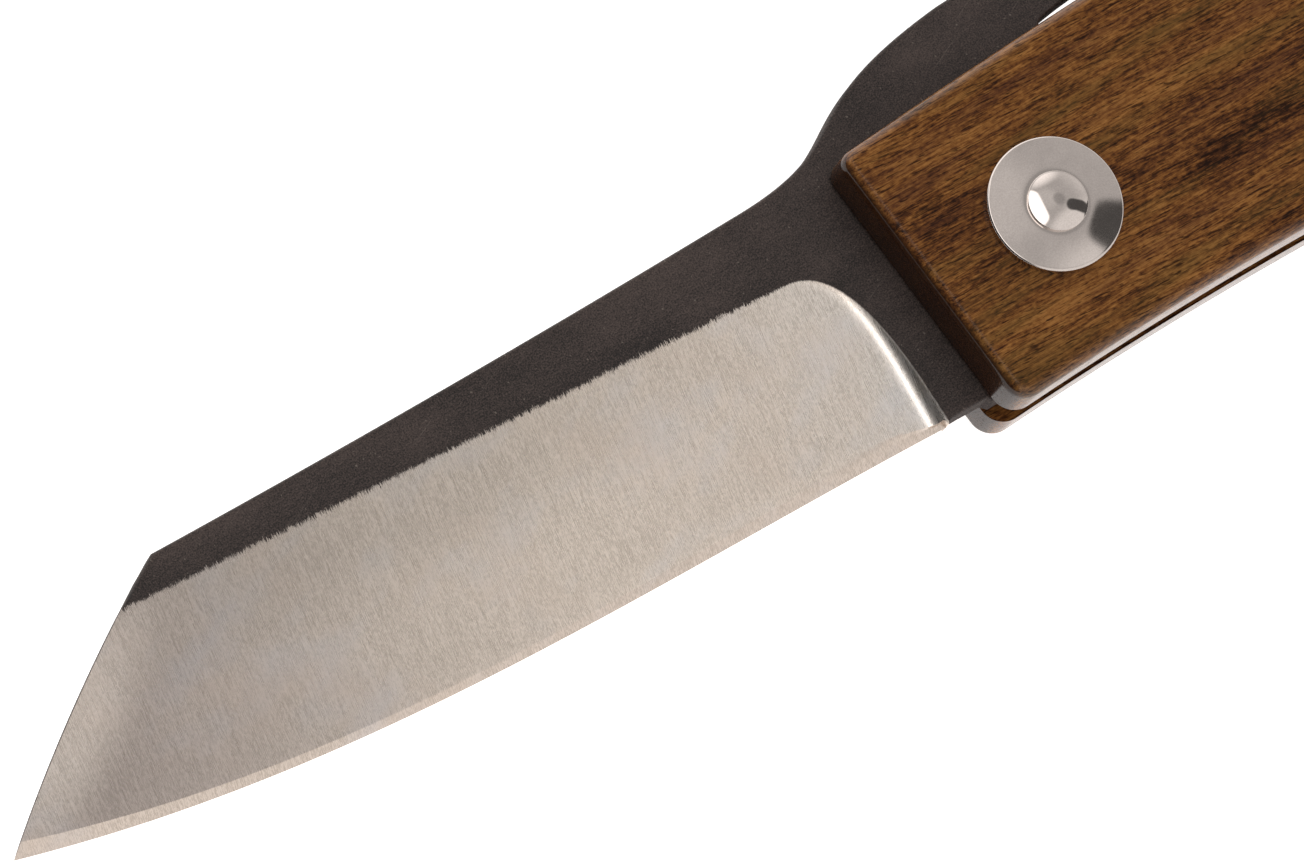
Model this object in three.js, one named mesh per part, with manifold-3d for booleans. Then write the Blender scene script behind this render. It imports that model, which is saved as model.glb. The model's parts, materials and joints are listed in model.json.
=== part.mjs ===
// Folding pocket knife of the friction kind. The blade, its tang and its thumb lever are one forging, which
// turns on a riveted pin between two wooden scales. A spacer strip holds the scales apart along the back and
// at the butt.
//
// Millimetres. The knife lies flat with the blade open: +X runs from the point to the butt, +Y from the
// cutting edge to the back, and +Z up out of the side that faces up. It is drawn around the pivot's axis,
// halfway through the blade, and moved at the end so that its origin is the middle of its footprint on the
// ground.
import * as THREE from 'three';
import { mergeVertices } from 'three/addons/utils/BufferGeometryUtils.js';
import Module from 'manifold-3d';

const wasm = await Module();
wasm.setup();

// Handle, measured from the pivot
const handleFront = 10.9;
const frontLean = THREE.MathUtils.degToRad(3.8);
const handleRear = 98;
const handleBottom = 10.75;
const fingerHollowRear = 26;
const fingerHollowDepth = 0.4;
const backAtFront = 10.82;
const backAtCrown = 12.67;
const backAtButt = 10.97;
const scaleThickness = 4;
const scaleEdgeRound = 1;
const frontTopCornerRadius = 1.2;
const frontBottomCornerRadius = 1.8;
const buttCornerRadius = 6;

// Blade, measured from the pivot
const bladeThickness = 2.4;
const pointAhead = 87.6;
const pointBelow = 1.6;
const heelAhead = 13.85;
const heelBelow = 8.95;
const edgeBellyAtPoint = 8.9;
const edgeBellyAtHeel = 7.8;
const clipCornerAhead = 68.1;
const clipCornerAbove = 11.62;
const clipBulge = 0.5;
const spineSag = 0.25;
const spineAbove = 11.38;
const spineEnd = 19.3;
const blankEdgeRound = 0.2;

// Grinding
const grindLineAtPlunge = 4.98;
const grindLineTilt = THREE.MathUtils.degToRad(4.2);
const bevelAngle = THREE.MathUtils.degToRad(3.85);
const plungeLead = 4.6;
const plungeDrop = 10.8;
const plungeReach = 1.3;
const leftAtMiddle = 0.06;
const sharpeningAngle = THREE.MathUtils.degToRad(15);
const sharpeningReach = 5;
const sharpeningOverrun = 1.5;
const edgeLand = 0.1;
const edgeFade = 7;
const edgeFadeLift = 0.35;

// Tang and thumb lever
const tangRadius = 8.2;
const ricassoBelow = 8.75;
const footFront = 10.1;
const footRear = 8.6;
const humpCrownPull = 14.8;
const humpCrownSlope = 0.09;
const humpFootPull = 12;
const leverRootBehind = 2.7;
const leverRootAbove = 17.1;
const leverWaistAbove = 15.4;
const leverCurlAbove = 16.8;
const leverCurl = THREE.MathUtils.degToRad(35);
const leverEndRadius = 1.1;
const leverRestBehind = 24.5;
const leverRestLength = 2.6;
const leverPastRest = 5.9;
const leverArch = 1;
const leverRootGap = 0.45;

// Clearances
const runningGap = 0.02;
const pinClearance = 0.05;
const stopGap = 0.2;
const edgeClearance = 0.3;
const tangClearance = 0.8;

// Pivot
const shankRadius = 1.5;
const frictionWasherRadius = 5.5;
const frictionWasherThickness = 0.15;
const pivotWasherRadius = 5;
const pivotWasherRim = 0.65;
const pivotWasherCrown = 1;
const pivotWasherSeat = 2.35;
const pivotWasherShoulder = 1;
const pivotWasherShoulderDrop = 0.1;
const washerEdgeRound = 0.2;
const headRadius = 2.2;
const headHeight = 0.7;
const headSide = 0.2;

// Spacer and its pins
const stripUndersideAtButt = 6.8;
const buttBlockDepth = 7;
const buttBlockFillet = 4;
const buttBlockSlant = 2.5;
const spacerPinRadius = 0.8;
const frontPinBehind = 33;
const middlePinBehind = 58;
const rearPinBehind = 83;
const buttPinAbove = 0;

// Sizes that follow from these
const bladeHalf = bladeThickness / 2;
const slotHalf = bladeHalf + runningGap + frictionWasherThickness;
const scaleFace = slotHalf + scaleThickness;
const headSeat = scaleFace + pivotWasherCrown;
const footBelow = heelBelow + edgeClearance;
const spacerUnderside = footBelow + stopGap;
const spacerNose = tangRadius + tangClearance;
const buttBlockFront = handleRear - buttBlockDepth;
const bevelSlope = Math.tan(bevelAngle);
const grindLineRise = Math.tan(grindLineTilt);
const leverReach = leverRestBehind + leverPastRest;

// How finely round forms are cut
const roundSides = 48;
const smallRoundSides = 24;
const outlineSteps = 14;
const roundSteps = 4;
const blankRoundSteps = 2;
const wheelSteps = 8;
const headSteps = 5;
const mergeReach = 1e-5;
const reachPast = 30;

const finishes = {
  forgedSteel: { color: 0x3a3433, roughness: 0.55, metalness: 0.6 },
  wood: { color: 0x6b4522, roughness: 0.4, metalness: 0 },
  polishedSteel: { color: 0xc9c4be, roughness: 0.2, metalness: 1 },
  satinSteel: { color: 0x9b9793, roughness: 0.4, metalness: 1 },
  bronze: { color: 0xa5763f, roughness: 0.45, metalness: 1 },
};

// Solids

// Turns a closed geometry into a solid that can be cut.
function solidOf(geometry) {
  const bare = geometry.index ? geometry.toNonIndexed() : geometry.clone();
  bare.deleteAttribute('normal');
  bare.deleteAttribute('uv');
  const merged = mergeVertices(bare, mergeReach);
  return new wasm.Manifold(new wasm.Mesh({
    numProp: 3,
    vertProperties: new Float32Array(merged.attributes.position.array),
    triVerts: new Uint32Array(merged.index.array),
  }));
}

// Gives the geometry of a solid.
function geometryOf(solid) {
  const mesh = solid.getMesh();
  const geometry = new THREE.BufferGeometry();
  geometry.setAttribute('position', new THREE.BufferAttribute(new Float32Array(mesh.vertProperties), 3));
  geometry.setIndex(new THREE.BufferAttribute(new Uint32Array(mesh.triVerts), 1));
  const flat = geometry.toNonIndexed();
  flat.computeVertexNormals();
  return flat;
}

// Extrudes an outline from low to high, with its upper and lower edges rounded in a few steps.
function plate(outline, low, high, edgeRound, steps = 1) {
  const geometry = new THREE.ExtrudeGeometry(outline, {
    depth: high - low - 2 * edgeRound,
    curveSegments: outlineSteps,
    bevelEnabled: edgeRound > 0,
    bevelSize: edgeRound,
    bevelOffset: -edgeRound,
    bevelThickness: edgeRound,
    bevelSegments: steps,
  });
  geometry.translate(0, 0, low + edgeRound);
  return geometry;
}

// An upright cylinder about a point, long enough to pass through the whole knife.
function drill(radius, x, y, sides) {
  const length = 2 * (headSeat + headHeight + reachPast);
  const geometry = new THREE.CylinderGeometry(radius, radius, length, sides);
  geometry.rotateX(Math.PI / 2);
  geometry.translate(x, y, 0);
  return solidOf(geometry);
}

// Joins rings of equally many points into a closed solid. Each ring is convex and has its end cap as a fan.
function loft(rings) {
  const size = rings[0].length;
  const points = rings.flat();
  const last = (rings.length - 1) * size;
  const faces = [];
  for (let ring = 0; ring < rings.length - 1; ring += 1) {
    for (let i = 0; i < size; i += 1) {
      const next = (i + 1) % size;
      const low = ring * size;
      const high = low + size;
      faces.push(low + i, low + next, high + next, low + i, high + next, high + i);
    }
  }
  for (let i = 1; i < size - 1; i += 1) {
    faces.push(0, i + 1, i, last, last + i, last + i + 1);
  }
  const geometry = new THREE.BufferGeometry();
  geometry.setFromPoints(points);
  geometry.setIndex(faces);
  return geometry;
}

// Revolves a profile of (radius, height) points about the pivot's axis and stands it on the given side.
function turned(profile, sides, side) {
  const geometry = new THREE.LatheGeometry(profile, sides);
  geometry.rotateX(side * Math.PI / 2);
  return geometry;
}

// Outlines

// The back of the handle, as the middle control point of one parabola from front to butt.
function backControl() {
  const middle = (handleRear - handleFront) / 2;
  return new THREE.Vector2(middle, 2 * backAtCrown - (backAtFront + backAtButt) / 2);
}

// The height of the handle's back at a place along it.
function backHeightAt(x) {
  const share = (x + handleFront) / (handleRear + handleFront);
  const rest = 1 - share;
  return rest * rest * backAtFront + 2 * rest * share * backControl().y + share * share * backAtButt;
}

// How far along the handle the middle of a rounded front corner is. The corner touches the front, whose top
// leans forward about the pivot's height.
function frontCornerMiddle(radius, height) {
  return -handleFront + (radius - height * Math.sin(frontLean)) / Math.cos(frontLean);
}

// The outline of the handle, which both scales share with the outside of the spacer.
function handleOutline() {
  const top = frontTopCornerRadius;
  const bottom = frontBottomCornerRadius;
  const butt = buttCornerRadius;
  const control = backControl();
  const shape = new THREE.Shape();
  const topMiddle = frontCornerMiddle(top, backAtFront - top);
  const bottomMiddle = frontCornerMiddle(bottom, bottom - handleBottom);
  const hollowMiddle = (bottomMiddle + fingerHollowRear) / 2;
  const hollowPull = 2 * fingerHollowDepth - handleBottom;
  shape.moveTo(bottomMiddle, -handleBottom);
  shape.quadraticCurveTo(hollowMiddle, hollowPull, fingerHollowRear, -handleBottom);
  shape.lineTo(handleRear - butt, -handleBottom);
  shape.absarc(handleRear - butt, -handleBottom + butt, butt, -Math.PI / 2, 0);
  shape.lineTo(handleRear, backAtButt - butt);
  shape.absarc(handleRear - butt, backAtButt - butt, butt, 0, Math.PI / 2);
  shape.quadraticCurveTo(control.x, control.y, topMiddle, backAtFront);
  shape.absarc(topMiddle, backAtFront - top, top, Math.PI / 2, Math.PI + frontLean);
  shape.absarc(bottomMiddle, bottom - handleBottom, bottom, Math.PI + frontLean, 1.5 * Math.PI);
  return shape;
}

// The cutting edge, from the point back to the heel.
function edgeCurve() {
  const length = pointAhead - heelAhead;
  return new THREE.CubicBezierCurve(
    new THREE.Vector2(-pointAhead, -pointBelow),
    new THREE.Vector2(-pointAhead + length / 3, -edgeBellyAtPoint),
    new THREE.Vector2(-heelAhead - length / 3, -edgeBellyAtHeel),
    new THREE.Vector2(-heelAhead, -heelBelow),
  );
}

// Adds the underside of the tang inside the handle: the ricasso, the foot that meets the spacer when the
// knife is shut, and the round about the pivot, which the foot runs into along a tangent.
function addTang(shape) {
  const step = footBelow - ricassoBelow;
  const footReach = Math.hypot(footRear, footBelow);
  const footAngle = Math.atan2(-footBelow, -footRear) + Math.acos(tangRadius / footReach);
  shape.lineTo(-heelAhead, -ricassoBelow);
  shape.lineTo(-footFront - step, -ricassoBelow);
  shape.lineTo(-footFront, -footBelow);
  shape.lineTo(-footRear, -footBelow);
  shape.lineTo(tangRadius * Math.cos(footAngle), tangRadius * Math.sin(footAngle));
  shape.absarc(0, 0, tangRadius, footAngle, 0);
}

// Adds the thumb lever: it leaves the slot, arches over the handle's back, rests on it and curls up at its
// end.
function addLever(shape) {
  const rise = backHeightAt(spacerNose) + leverRootGap;
  const restStart = leverRestBehind - leverRestLength;
  const restHeight = backHeightAt(leverRestBehind) + stopGap;
  const archBehind = (tangRadius + restStart) / 2;
  const archHeight = backHeightAt(archBehind) + leverArch;
  const waistBehind = (leverRootBehind + leverReach) / 2 + leverEndRadius;
  const end = new THREE.Vector2(leverReach - leverEndRadius, leverCurlAbove - leverEndRadius);
  const across = new THREE.Vector2(Math.sin(leverCurl), -Math.cos(leverCurl)).multiplyScalar(leverEndRadius);
  const lower = end.clone().add(across);
  const upper = end.clone().sub(across);
  const runTo = (from, height) => from.x - (from.y - height) / Math.tan(leverCurl);
  shape.lineTo(tangRadius, rise - 2 * leverRootGap);
  shape.quadraticCurveTo(tangRadius, rise, tangRadius + 2 * leverRootGap, rise + leverRootGap / 2);
  shape.quadraticCurveTo(archBehind, archHeight + leverRootGap, restStart, restHeight);
  shape.lineTo(leverRestBehind, restHeight);
  shape.quadraticCurveTo(runTo(lower, restHeight), restHeight, lower.x, lower.y);
  shape.absarc(end.x, end.y, leverEndRadius, leverCurl - Math.PI / 2, leverCurl + Math.PI / 2);
  shape.quadraticCurveTo(runTo(upper, leverWaistAbove), leverWaistAbove, waistBehind, leverWaistAbove);
  shape.bezierCurveTo(
    waistBehind / 2 + leverRootBehind, leverWaistAbove,
    waistBehind / 2 + leverRootBehind, leverRootAbove + leverRootGap,
    leverRootBehind, leverRootAbove,
  );
}

// Adds the hump in front of the lever and the spine, the clipped front and so the way back to the point.
function addBack(shape) {
  shape.bezierCurveTo(
    leverRootBehind - humpCrownPull, leverRootAbove - humpCrownPull * humpCrownSlope,
    -spineEnd + humpFootPull, spineAbove,
    -spineEnd, spineAbove,
  );
  shape.quadraticCurveTo(
    -(spineEnd + clipCornerAhead) / 2, (spineAbove + clipCornerAbove) / 2 - 2 * spineSag,
    -clipCornerAhead, clipCornerAbove,
  );
  const clip = new THREE.Vector2(clipCornerAhead - pointAhead, -pointBelow - clipCornerAbove);
  const outwards = new THREE.Vector2(clip.y, -clip.x).normalize().multiplyScalar(2 * clipBulge);
  shape.quadraticCurveTo(
    -clipCornerAhead + clip.x / 2 + outwards.x, clipCornerAbove + clip.y / 2 + outwards.y,
    -pointAhead, -pointBelow,
  );
}

// The outline of the forging before it is ground.
function forgingOutline() {
  const edge = edgeCurve();
  const shape = new THREE.Shape();
  shape.moveTo(edge.v0.x, edge.v0.y);
  shape.bezierCurveTo(edge.v1.x, edge.v1.y, edge.v2.x, edge.v2.y, edge.v3.x, edge.v3.y);
  addTang(shape);
  addLever(shape);
  addBack(shape);
  return shape;
}

// Grinding

// The height of the grind line, where the bevel leaves the flat, at a distance ahead of the pivot.
function grindLineAt(ahead) {
  return grindLineAtPlunge + grindLineRise * (ahead - heelAhead);
}

// What the grinding wheel takes off one side for the main bevel. Its plan sinks along the bevel from the
// grind line to the edge, and its rounded shoulder leaves the plunge in front of the ricasso. The first ring
// stands clear of the flat, and the others lie closer together where the shoulder curves more.
function bevelCut(side) {
  const past = pointAhead + reachPast;
  const corner = new THREE.QuadraticBezierCurve(
    new THREE.Vector2(-heelAhead - plungeLead, grindLineAt(heelAhead + plungeLead)),
    new THREE.Vector2(-heelAhead, grindLineAt(heelAhead)),
    new THREE.Vector2(-heelAhead, grindLineAt(heelAhead) - plungeDrop),
  );
  const plan = [
    new THREE.Vector2(-past, -past),
    new THREE.Vector2(-heelAhead, -past),
    ...corner.getPoints(outlineSteps).reverse(),
    new THREE.Vector2(-past, grindLineAt(past)),
  ];
  const deepest = bladeHalf - leftAtMiddle;
  const sinks = [-deepest / wheelSteps];
  for (let i = 0; i <= wheelSteps; i += 1) {
    sinks.push(deepest * Math.sin((i / wheelSteps) * Math.PI / 2));
  }
  const rings = sinks.map((sink) => {
    const share = Math.max(sink, 0) / bladeHalf;
    const shoulder = plungeReach * (1 - Math.sqrt(1 - share * share));
    const drop = sink / bevelSlope - shoulder * grindLineRise;
    return plan.map((p) => new THREE.Vector3(p.x - shoulder, p.y - drop, side * (bladeHalf - sink)));
  });
  return solidOf(loft(side > 0 ? rings.reverse() : rings));
}

// What the sharpening stone takes off one side: a wedge that follows the cutting edge up to the plunge.
function sharpeningCut(side) {
  const edge = edgeCurve();
  const slope = Math.tan(sharpeningAngle);
  const land = edgeLand / 2;
  const stations = edge.getPoints(2 * outlineSteps).map((at, i) => {
    const t = i / (2 * outlineSteps);
    const along = edge.getTangent(t);
    return { at, along };
  });
  const first = stations[0];
  const before = first.at.clone().addScaledVector(first.along, -2 * sharpeningOverrun);
  stations.unshift({ at: before, along: first.along });
  const kept = stations.filter((station) => station.at.x < -heelAhead - plungeReach);
  const rings = kept.map(({ at, along }) => {
    const inwards = new THREE.Vector2(-along.y, along.x);
    const lift = edgeFadeLift * Math.max(0, 1 + (at.x + heelAhead) / edgeFade);
    const corner = (reach, height) => new THREE.Vector3(
      at.x + inwards.x * reach,
      at.y + inwards.y * reach,
      side * (height + lift),
    );
    return [
      corner(-sharpeningOverrun, land - sharpeningOverrun * slope),
      corner(sharpeningReach, land + sharpeningReach * slope),
      corner(-sharpeningOverrun, bladeThickness + sharpeningReach * slope),
    ];
  });
  return solidOf(loft(side > 0 ? rings : rings.reverse()));
}

// The blade with its tang and thumb lever.
function bladeGeometry() {
  let blade = solidOf(plate(forgingOutline(), -bladeHalf, bladeHalf, blankEdgeRound, blankRoundSteps));
  for (const side of [-1, 1]) {
    blade = blade.subtract(bevelCut(side));
    blade = blade.subtract(sharpeningCut(side));
  }
  return geometryOf(blade.subtract(drill(shankRadius + pinClearance, 0, 0, roundSides)));
}

// Handle

// The underside of the spacer's strip, which drops towards the butt as the closed blade's edge does.
function undersideAt(x) {
  const share = (x - spacerNose) / (buttBlockFront - spacerNose);
  return spacerUnderside + share * (stripUndersideAtButt - spacerUnderside);
}

// Where the spacer's pins stand: three in the strip along the back and one in the block at the butt.
function spacerPinPlaces() {
  const strip = (x) => new THREE.Vector2(x, (undersideAt(x) + backHeightAt(x)) / 2);
  return {
    front_spacer_pin: strip(frontPinBehind),
    middle_spacer_pin: strip(middlePinBehind),
    rear_spacer_pin: strip(rearPinBehind),
    butt_pin: new THREE.Vector2(buttBlockFront + (buttBlockDepth + buttBlockSlant) / 2, buttPinAbove),
  };
}

// Drills a solid for all the spacer's pins.
function drilledForPins(solid) {
  let drilled = solid;
  for (const place of Object.values(spacerPinPlaces())) {
    drilled = drilled.subtract(drill(spacerPinRadius + pinClearance, place.x, place.y, smallRoundSides));
  }
  return drilled;
}

// A wooden scale: a plate with rounded outer edges whose inner side is sawn flat at the slot.
function scaleGeometry(side) {
  const back = 2 * scaleEdgeRound;
  const low = side > 0 ? slotHalf - back : -scaleFace;
  const high = side > 0 ? scaleFace : back - slotHalf;
  const length = handleFront + handleRear + 2 * reachPast;
  const inner = new THREE.BoxGeometry(length, length, 2 * slotHalf + reachPast);
  inner.translate((handleRear - handleFront) / 2, 0, -side * reachPast / 2);
  const whole = solidOf(plate(handleOutline(), low, high, scaleEdgeRound, roundSteps));
  const sawn = whole.subtract(solidOf(inner));
  return geometryOf(drilledForPins(sawn).subtract(drill(shankRadius + pinClearance, 0, 0, roundSides)));
}

// The room that the closed blade and the turning tang need between the scales.
function bladeRoom() {
  const past = handleRear + reachPast;
  const shape = new THREE.Shape();
  shape.moveTo(-past, -past);
  shape.lineTo(buttBlockFront + buttBlockSlant + past - handleBottom, -past);
  shape.lineTo(buttBlockFront + buttBlockSlant, -handleBottom);
  shape.lineTo(buttBlockFront, undersideAt(buttBlockFront) - buttBlockFillet);
  shape.quadraticCurveTo(
    buttBlockFront, undersideAt(buttBlockFront),
    buttBlockFront - buttBlockFillet, undersideAt(buttBlockFront - buttBlockFillet),
  );
  shape.lineTo(spacerNose, spacerUnderside);
  shape.lineTo(spacerNose, past);
  shape.lineTo(-past, past);
  return shape;
}

// The spacer: the handle's outline as thick as the slot, less the room for the blade.
function spacerGeometry() {
  const whole = solidOf(plate(handleOutline(), -slotHalf, slotHalf, 0));
  const room = solidOf(plate(bladeRoom(), -slotHalf - reachPast, slotHalf + reachPast, 0));
  return geometryOf(drilledForPins(whole.subtract(room)));
}

// Pivot

// A dished washer with a rounded rim, a seat for the pin's head and a bore for its shank.
function pivotWasherGeometry(side) {
  const bore = shankRadius + pinClearance;
  const inset = washerEdgeRound * (1 - Math.SQRT1_2);
  const profile = [
    new THREE.Vector2(bore, 0),
    new THREE.Vector2(pivotWasherRadius, 0),
    new THREE.Vector2(pivotWasherRadius, pivotWasherRim - washerEdgeRound),
    new THREE.Vector2(pivotWasherRadius - inset, pivotWasherRim - inset),
    new THREE.Vector2(pivotWasherRadius - washerEdgeRound, pivotWasherRim),
    new THREE.Vector2(pivotWasherSeat + pivotWasherShoulder, pivotWasherCrown - pivotWasherShoulderDrop),
    new THREE.Vector2(pivotWasherSeat, pivotWasherCrown),
    new THREE.Vector2(bore, pivotWasherCrown),
    new THREE.Vector2(bore, 0),
  ];
  return turned(profile, roundSides, side);
}

// A thin disc between the blade and a scale.
function frictionWasherGeometry(side) {
  const bore = shankRadius + pinClearance;
  const profile = [
    new THREE.Vector2(bore, 0),
    new THREE.Vector2(frictionWasherRadius, 0),
    new THREE.Vector2(frictionWasherRadius, frictionWasherThickness),
    new THREE.Vector2(bore, frictionWasherThickness),
    new THREE.Vector2(bore, 0),
  ];
  return turned(profile, roundSides, side);
}

// The pivot pin: a shank with a domed head peened over the washer at each end.
function pivotPinGeometry() {
  const dome = headHeight - headSide;
  const ballRadius = (headRadius * headRadius + dome * dome) / (2 * dome);
  const upper = [
    new THREE.Vector2(shankRadius, headSeat),
    new THREE.Vector2(headRadius, headSeat),
    new THREE.Vector2(headRadius, headSeat + headSide),
  ];
  for (let i = headSteps - 1; i >= 0; i -= 1) {
    const radius = headRadius * i / headSteps;
    const height = Math.sqrt(ballRadius * ballRadius - radius * radius) - ballRadius + headHeight;
    upper.push(new THREE.Vector2(radius, headSeat + height));
  }
  const lower = upper.map((p) => new THREE.Vector2(p.x, -p.y)).reverse();
  return turned([...lower, ...upper], roundSides, 1);
}

// A plain pin through both scales and the spacer, flush with the scales' faces.
function spacerPinGeometry() {
  const length = 2 * scaleFace;
  const geometry = new THREE.CylinderGeometry(spacerPinRadius, spacerPinRadius, length, smallRoundSides);
  geometry.rotateX(Math.PI / 2);
  return geometry;
}

// The knife

// A named mesh with its own material.
function piece(name, geometry, finish) {
  const mesh = new THREE.Mesh(geometry, new THREE.MeshStandardMaterial(finish));
  mesh.name = name;
  return mesh;
}

function buildHandle() {
  const handle = new THREE.Group();
  handle.add(piece('front_scale', scaleGeometry(1), finishes.wood));
  handle.add(piece('back_scale', scaleGeometry(-1), finishes.wood));
  handle.add(piece('back_spacer', spacerGeometry(), finishes.satinSteel));
  handle.add(piece('pivot_pin', pivotPinGeometry(), finishes.polishedSteel));
  for (const [name, place] of Object.entries(spacerPinPlaces())) {
    const pin = piece(name, spacerPinGeometry(), finishes.satinSteel);
    pin.position.set(place.x, place.y, 0);
    handle.add(pin);
  }
  for (const [name, side] of [['front', 1], ['back', -1]]) {
    const washer = piece(`${name}_pivot_washer`, pivotWasherGeometry(side), finishes.polishedSteel);
    washer.position.z = side * scaleFace;
    handle.add(washer);
    const disc = piece(`${name}_friction_washer`, frictionWasherGeometry(-side), finishes.bronze);
    disc.position.z = side * slotHalf;
    handle.add(disc);
  }
  return handle;
}

// Stands the knife on the ground with its origin in the middle of its footprint.
function seatOnGround(group) {
  const box = new THREE.Box3().setFromObject(group);
  const middle = box.getCenter(new THREE.Vector3());
  group.position.set(-middle.x, -middle.y, -box.min.z);
  group.updateMatrixWorld(true);
  return group;
}

const knife = new THREE.Group();
knife.add(buildHandle());
knife.add(piece('blade', bladeGeometry(), finishes.forgedSteel));

export default seatOnGround(knife);
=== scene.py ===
"""Folding pocket knife of the friction kind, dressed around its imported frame.

Meshes are modelled in millimetres about the pivot's axis, halfway through the blade: +X runs from the point
to the butt, +Y from the cutting edge to the back and +Z out of the side that faces up. Each piece is moved to
its place in the frame, in metres, when it is finished.
"""

import json
import logging
import math
from dataclasses import dataclass, field
from enum import Enum
from typing import Iterable, Optional, Sequence, Union

import bmesh
import bpy
from bmesh.types import BMEdge, BMesh, BMFace, BMVert
from mathutils import Matrix, Vector
from mathutils.geometry import intersect_point_line
from mathutils.kdtree import KDTree


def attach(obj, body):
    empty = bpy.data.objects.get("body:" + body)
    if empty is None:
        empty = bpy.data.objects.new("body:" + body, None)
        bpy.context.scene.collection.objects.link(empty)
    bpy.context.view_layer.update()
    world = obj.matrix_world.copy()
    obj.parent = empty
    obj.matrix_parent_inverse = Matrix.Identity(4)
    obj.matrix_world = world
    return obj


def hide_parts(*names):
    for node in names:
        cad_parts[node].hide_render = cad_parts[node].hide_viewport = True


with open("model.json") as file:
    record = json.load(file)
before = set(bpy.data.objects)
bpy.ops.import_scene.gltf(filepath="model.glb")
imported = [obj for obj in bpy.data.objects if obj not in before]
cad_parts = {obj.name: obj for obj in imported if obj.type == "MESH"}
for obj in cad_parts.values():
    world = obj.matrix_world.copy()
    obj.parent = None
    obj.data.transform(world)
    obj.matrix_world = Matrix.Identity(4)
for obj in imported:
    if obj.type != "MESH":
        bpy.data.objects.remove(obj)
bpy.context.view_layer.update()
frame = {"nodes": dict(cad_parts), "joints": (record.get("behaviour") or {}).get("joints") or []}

log = logging.getLogger("knife")

MM = 0.001
PIVOT = Vector(frame["joints"][0]["pos_m"])
ZUP = Vector((0.0, 0.0, 1.0))
QUARTER = math.pi / 2
NOISE_MIDDLE = 0.5
MERGE_MM = 1e-4
PROFILE_GAP_MM = 1e-3
LEAST_MITRE = 0.5
TINY = 1e-6

Pair = tuple[float, float]
Triple = tuple[float, float, float]
Stops = tuple[tuple[float, Triple], ...]
Node = bpy.types.Node
Socket = bpy.types.NodeSocket

BLACK = (0.0, 0.0, 0.0)
WHITE = (1.0, 1.0, 1.0)


class Side(Enum):
    """The two sides of the knife, by the sign of their Z."""

    FRONT = 1
    BACK = -1


class Body(Enum):
    """The bodies of the frame."""

    HANDLE = "handle"
    BLADE = "blade"


class Slot(Enum):
    """The material slots of the record that finished pieces take."""

    BLADE = "blade_steel"
    WOOD = "scale_wood"
    WASHER = "washer_steel"
    PIN = "pin_steel"
    SPACER = "spacer_steel"


# Shader work


class Value:
    """A socket that carries a number, with Python's arithmetic."""

    def __init__(self, bench: "Bench", socket: Socket) -> None:
        """Wraps an output socket of a bench's tree."""
        self.bench = bench
        self.socket = socket

    def _math(self, operation: str, first: "Number", second: "Number" = 0.0) -> "Value":
        """Gives the result of a Math node on two numbers."""
        node = self.bench.add("ShaderNodeMath", {"operation": operation}, {0: first, 1: second})
        return Value(self.bench, node.outputs[0])

    def __add__(self, other: "Number") -> "Value":
        """Adds a number."""
        return self._math("ADD", self, other)

    def __sub__(self, other: "Number") -> "Value":
        """Takes a number away."""
        return self._math("SUBTRACT", self, other)

    def __rsub__(self, other: "Number") -> "Value":
        """Takes this value away from a number."""
        return self._math("SUBTRACT", other, self)

    def __mul__(self, other: "Number") -> "Value":
        """Multiplies by a number."""
        return self._math("MULTIPLY", self, other)

    __radd__ = __add__
    __rmul__ = __mul__

    def size(self) -> "Value":
        """Gives this value without its sign."""
        return self._math("ABSOLUTE", self)

    def at_least(self, floor: "Number") -> "Value":
        """Gives the larger of this value and another."""
        return self._math("MAXIMUM", self, floor)

    def at_most(self, ceiling: "Number") -> "Value":
        """Gives the smaller of this value and another."""
        return self._math("MINIMUM", self, ceiling)

    def swing(self, strength: float) -> "Value":
        """Gives how far a pattern is from its middle, times a strength."""
        return (self - NOISE_MIDDLE) * strength

    def past(self, level: float, gain: float) -> "Value":
        """Gives what is above a level, times a gain, or what is below it where the gain is negative."""
        return ((self - level) * gain).at_least(0.0)

    def eased(self, low: float, high: float) -> "Value":
        """Goes smoothly from 0 to 1.

        Args:
            low: The value that gives 0.
            high: The value that gives 1. It may be the smaller of the two.

        Returns:
            The share between 0 and 1.
        """
        span = {"From Min": min(low, high), "From Max": max(low, high)}
        ends = {"To Min": float(low > high), "To Max": float(low <= high)}
        settings = {"interpolation_type": "SMOOTHSTEP"}
        node = self.bench.add("ShaderNodeMapRange", settings, {"Value": self, **span, **ends})
        return Value(self.bench, node.outputs["Result"])


Number = Union[Value, float]


def mixed(patterns: Sequence[Value], strengths: Sequence[float], middle: float = NOISE_MIDDLE) -> Number:
    """Adds up patterns.

    Args:
        patterns: The patterns.
        strengths: How strong each of them is.
        middle: What the sum is where all of them have their middle value.

    Returns:
        The sum.
    """
    total: Number = middle
    for pattern, strength in zip(patterns, strengths):
        total = pattern.swing(strength) + total
    return total


@dataclass(frozen=True)
class Pattern:
    """A noise pattern, by the length, height and depth of one of its features.

    The turn is in degrees from the knife's length. Where peaks are given, the pattern is the share of it that
    rises from the first of these levels to the second.
    """

    size_mm: Triple
    turn: float = 0.0
    detail: float = 3.0
    roughness: float = 0.5
    distortion: float = 0.0
    peaks: Optional[Pair] = None


@dataclass(frozen=True)
class Spot:
    """A soft oval spot about a point in plan, through the whole knife, with its full strength in its core."""

    x: float
    y: float
    length: float
    height: float
    turn: float
    strength: float
    depth: float = 40.0
    core: float = 0.15


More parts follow.
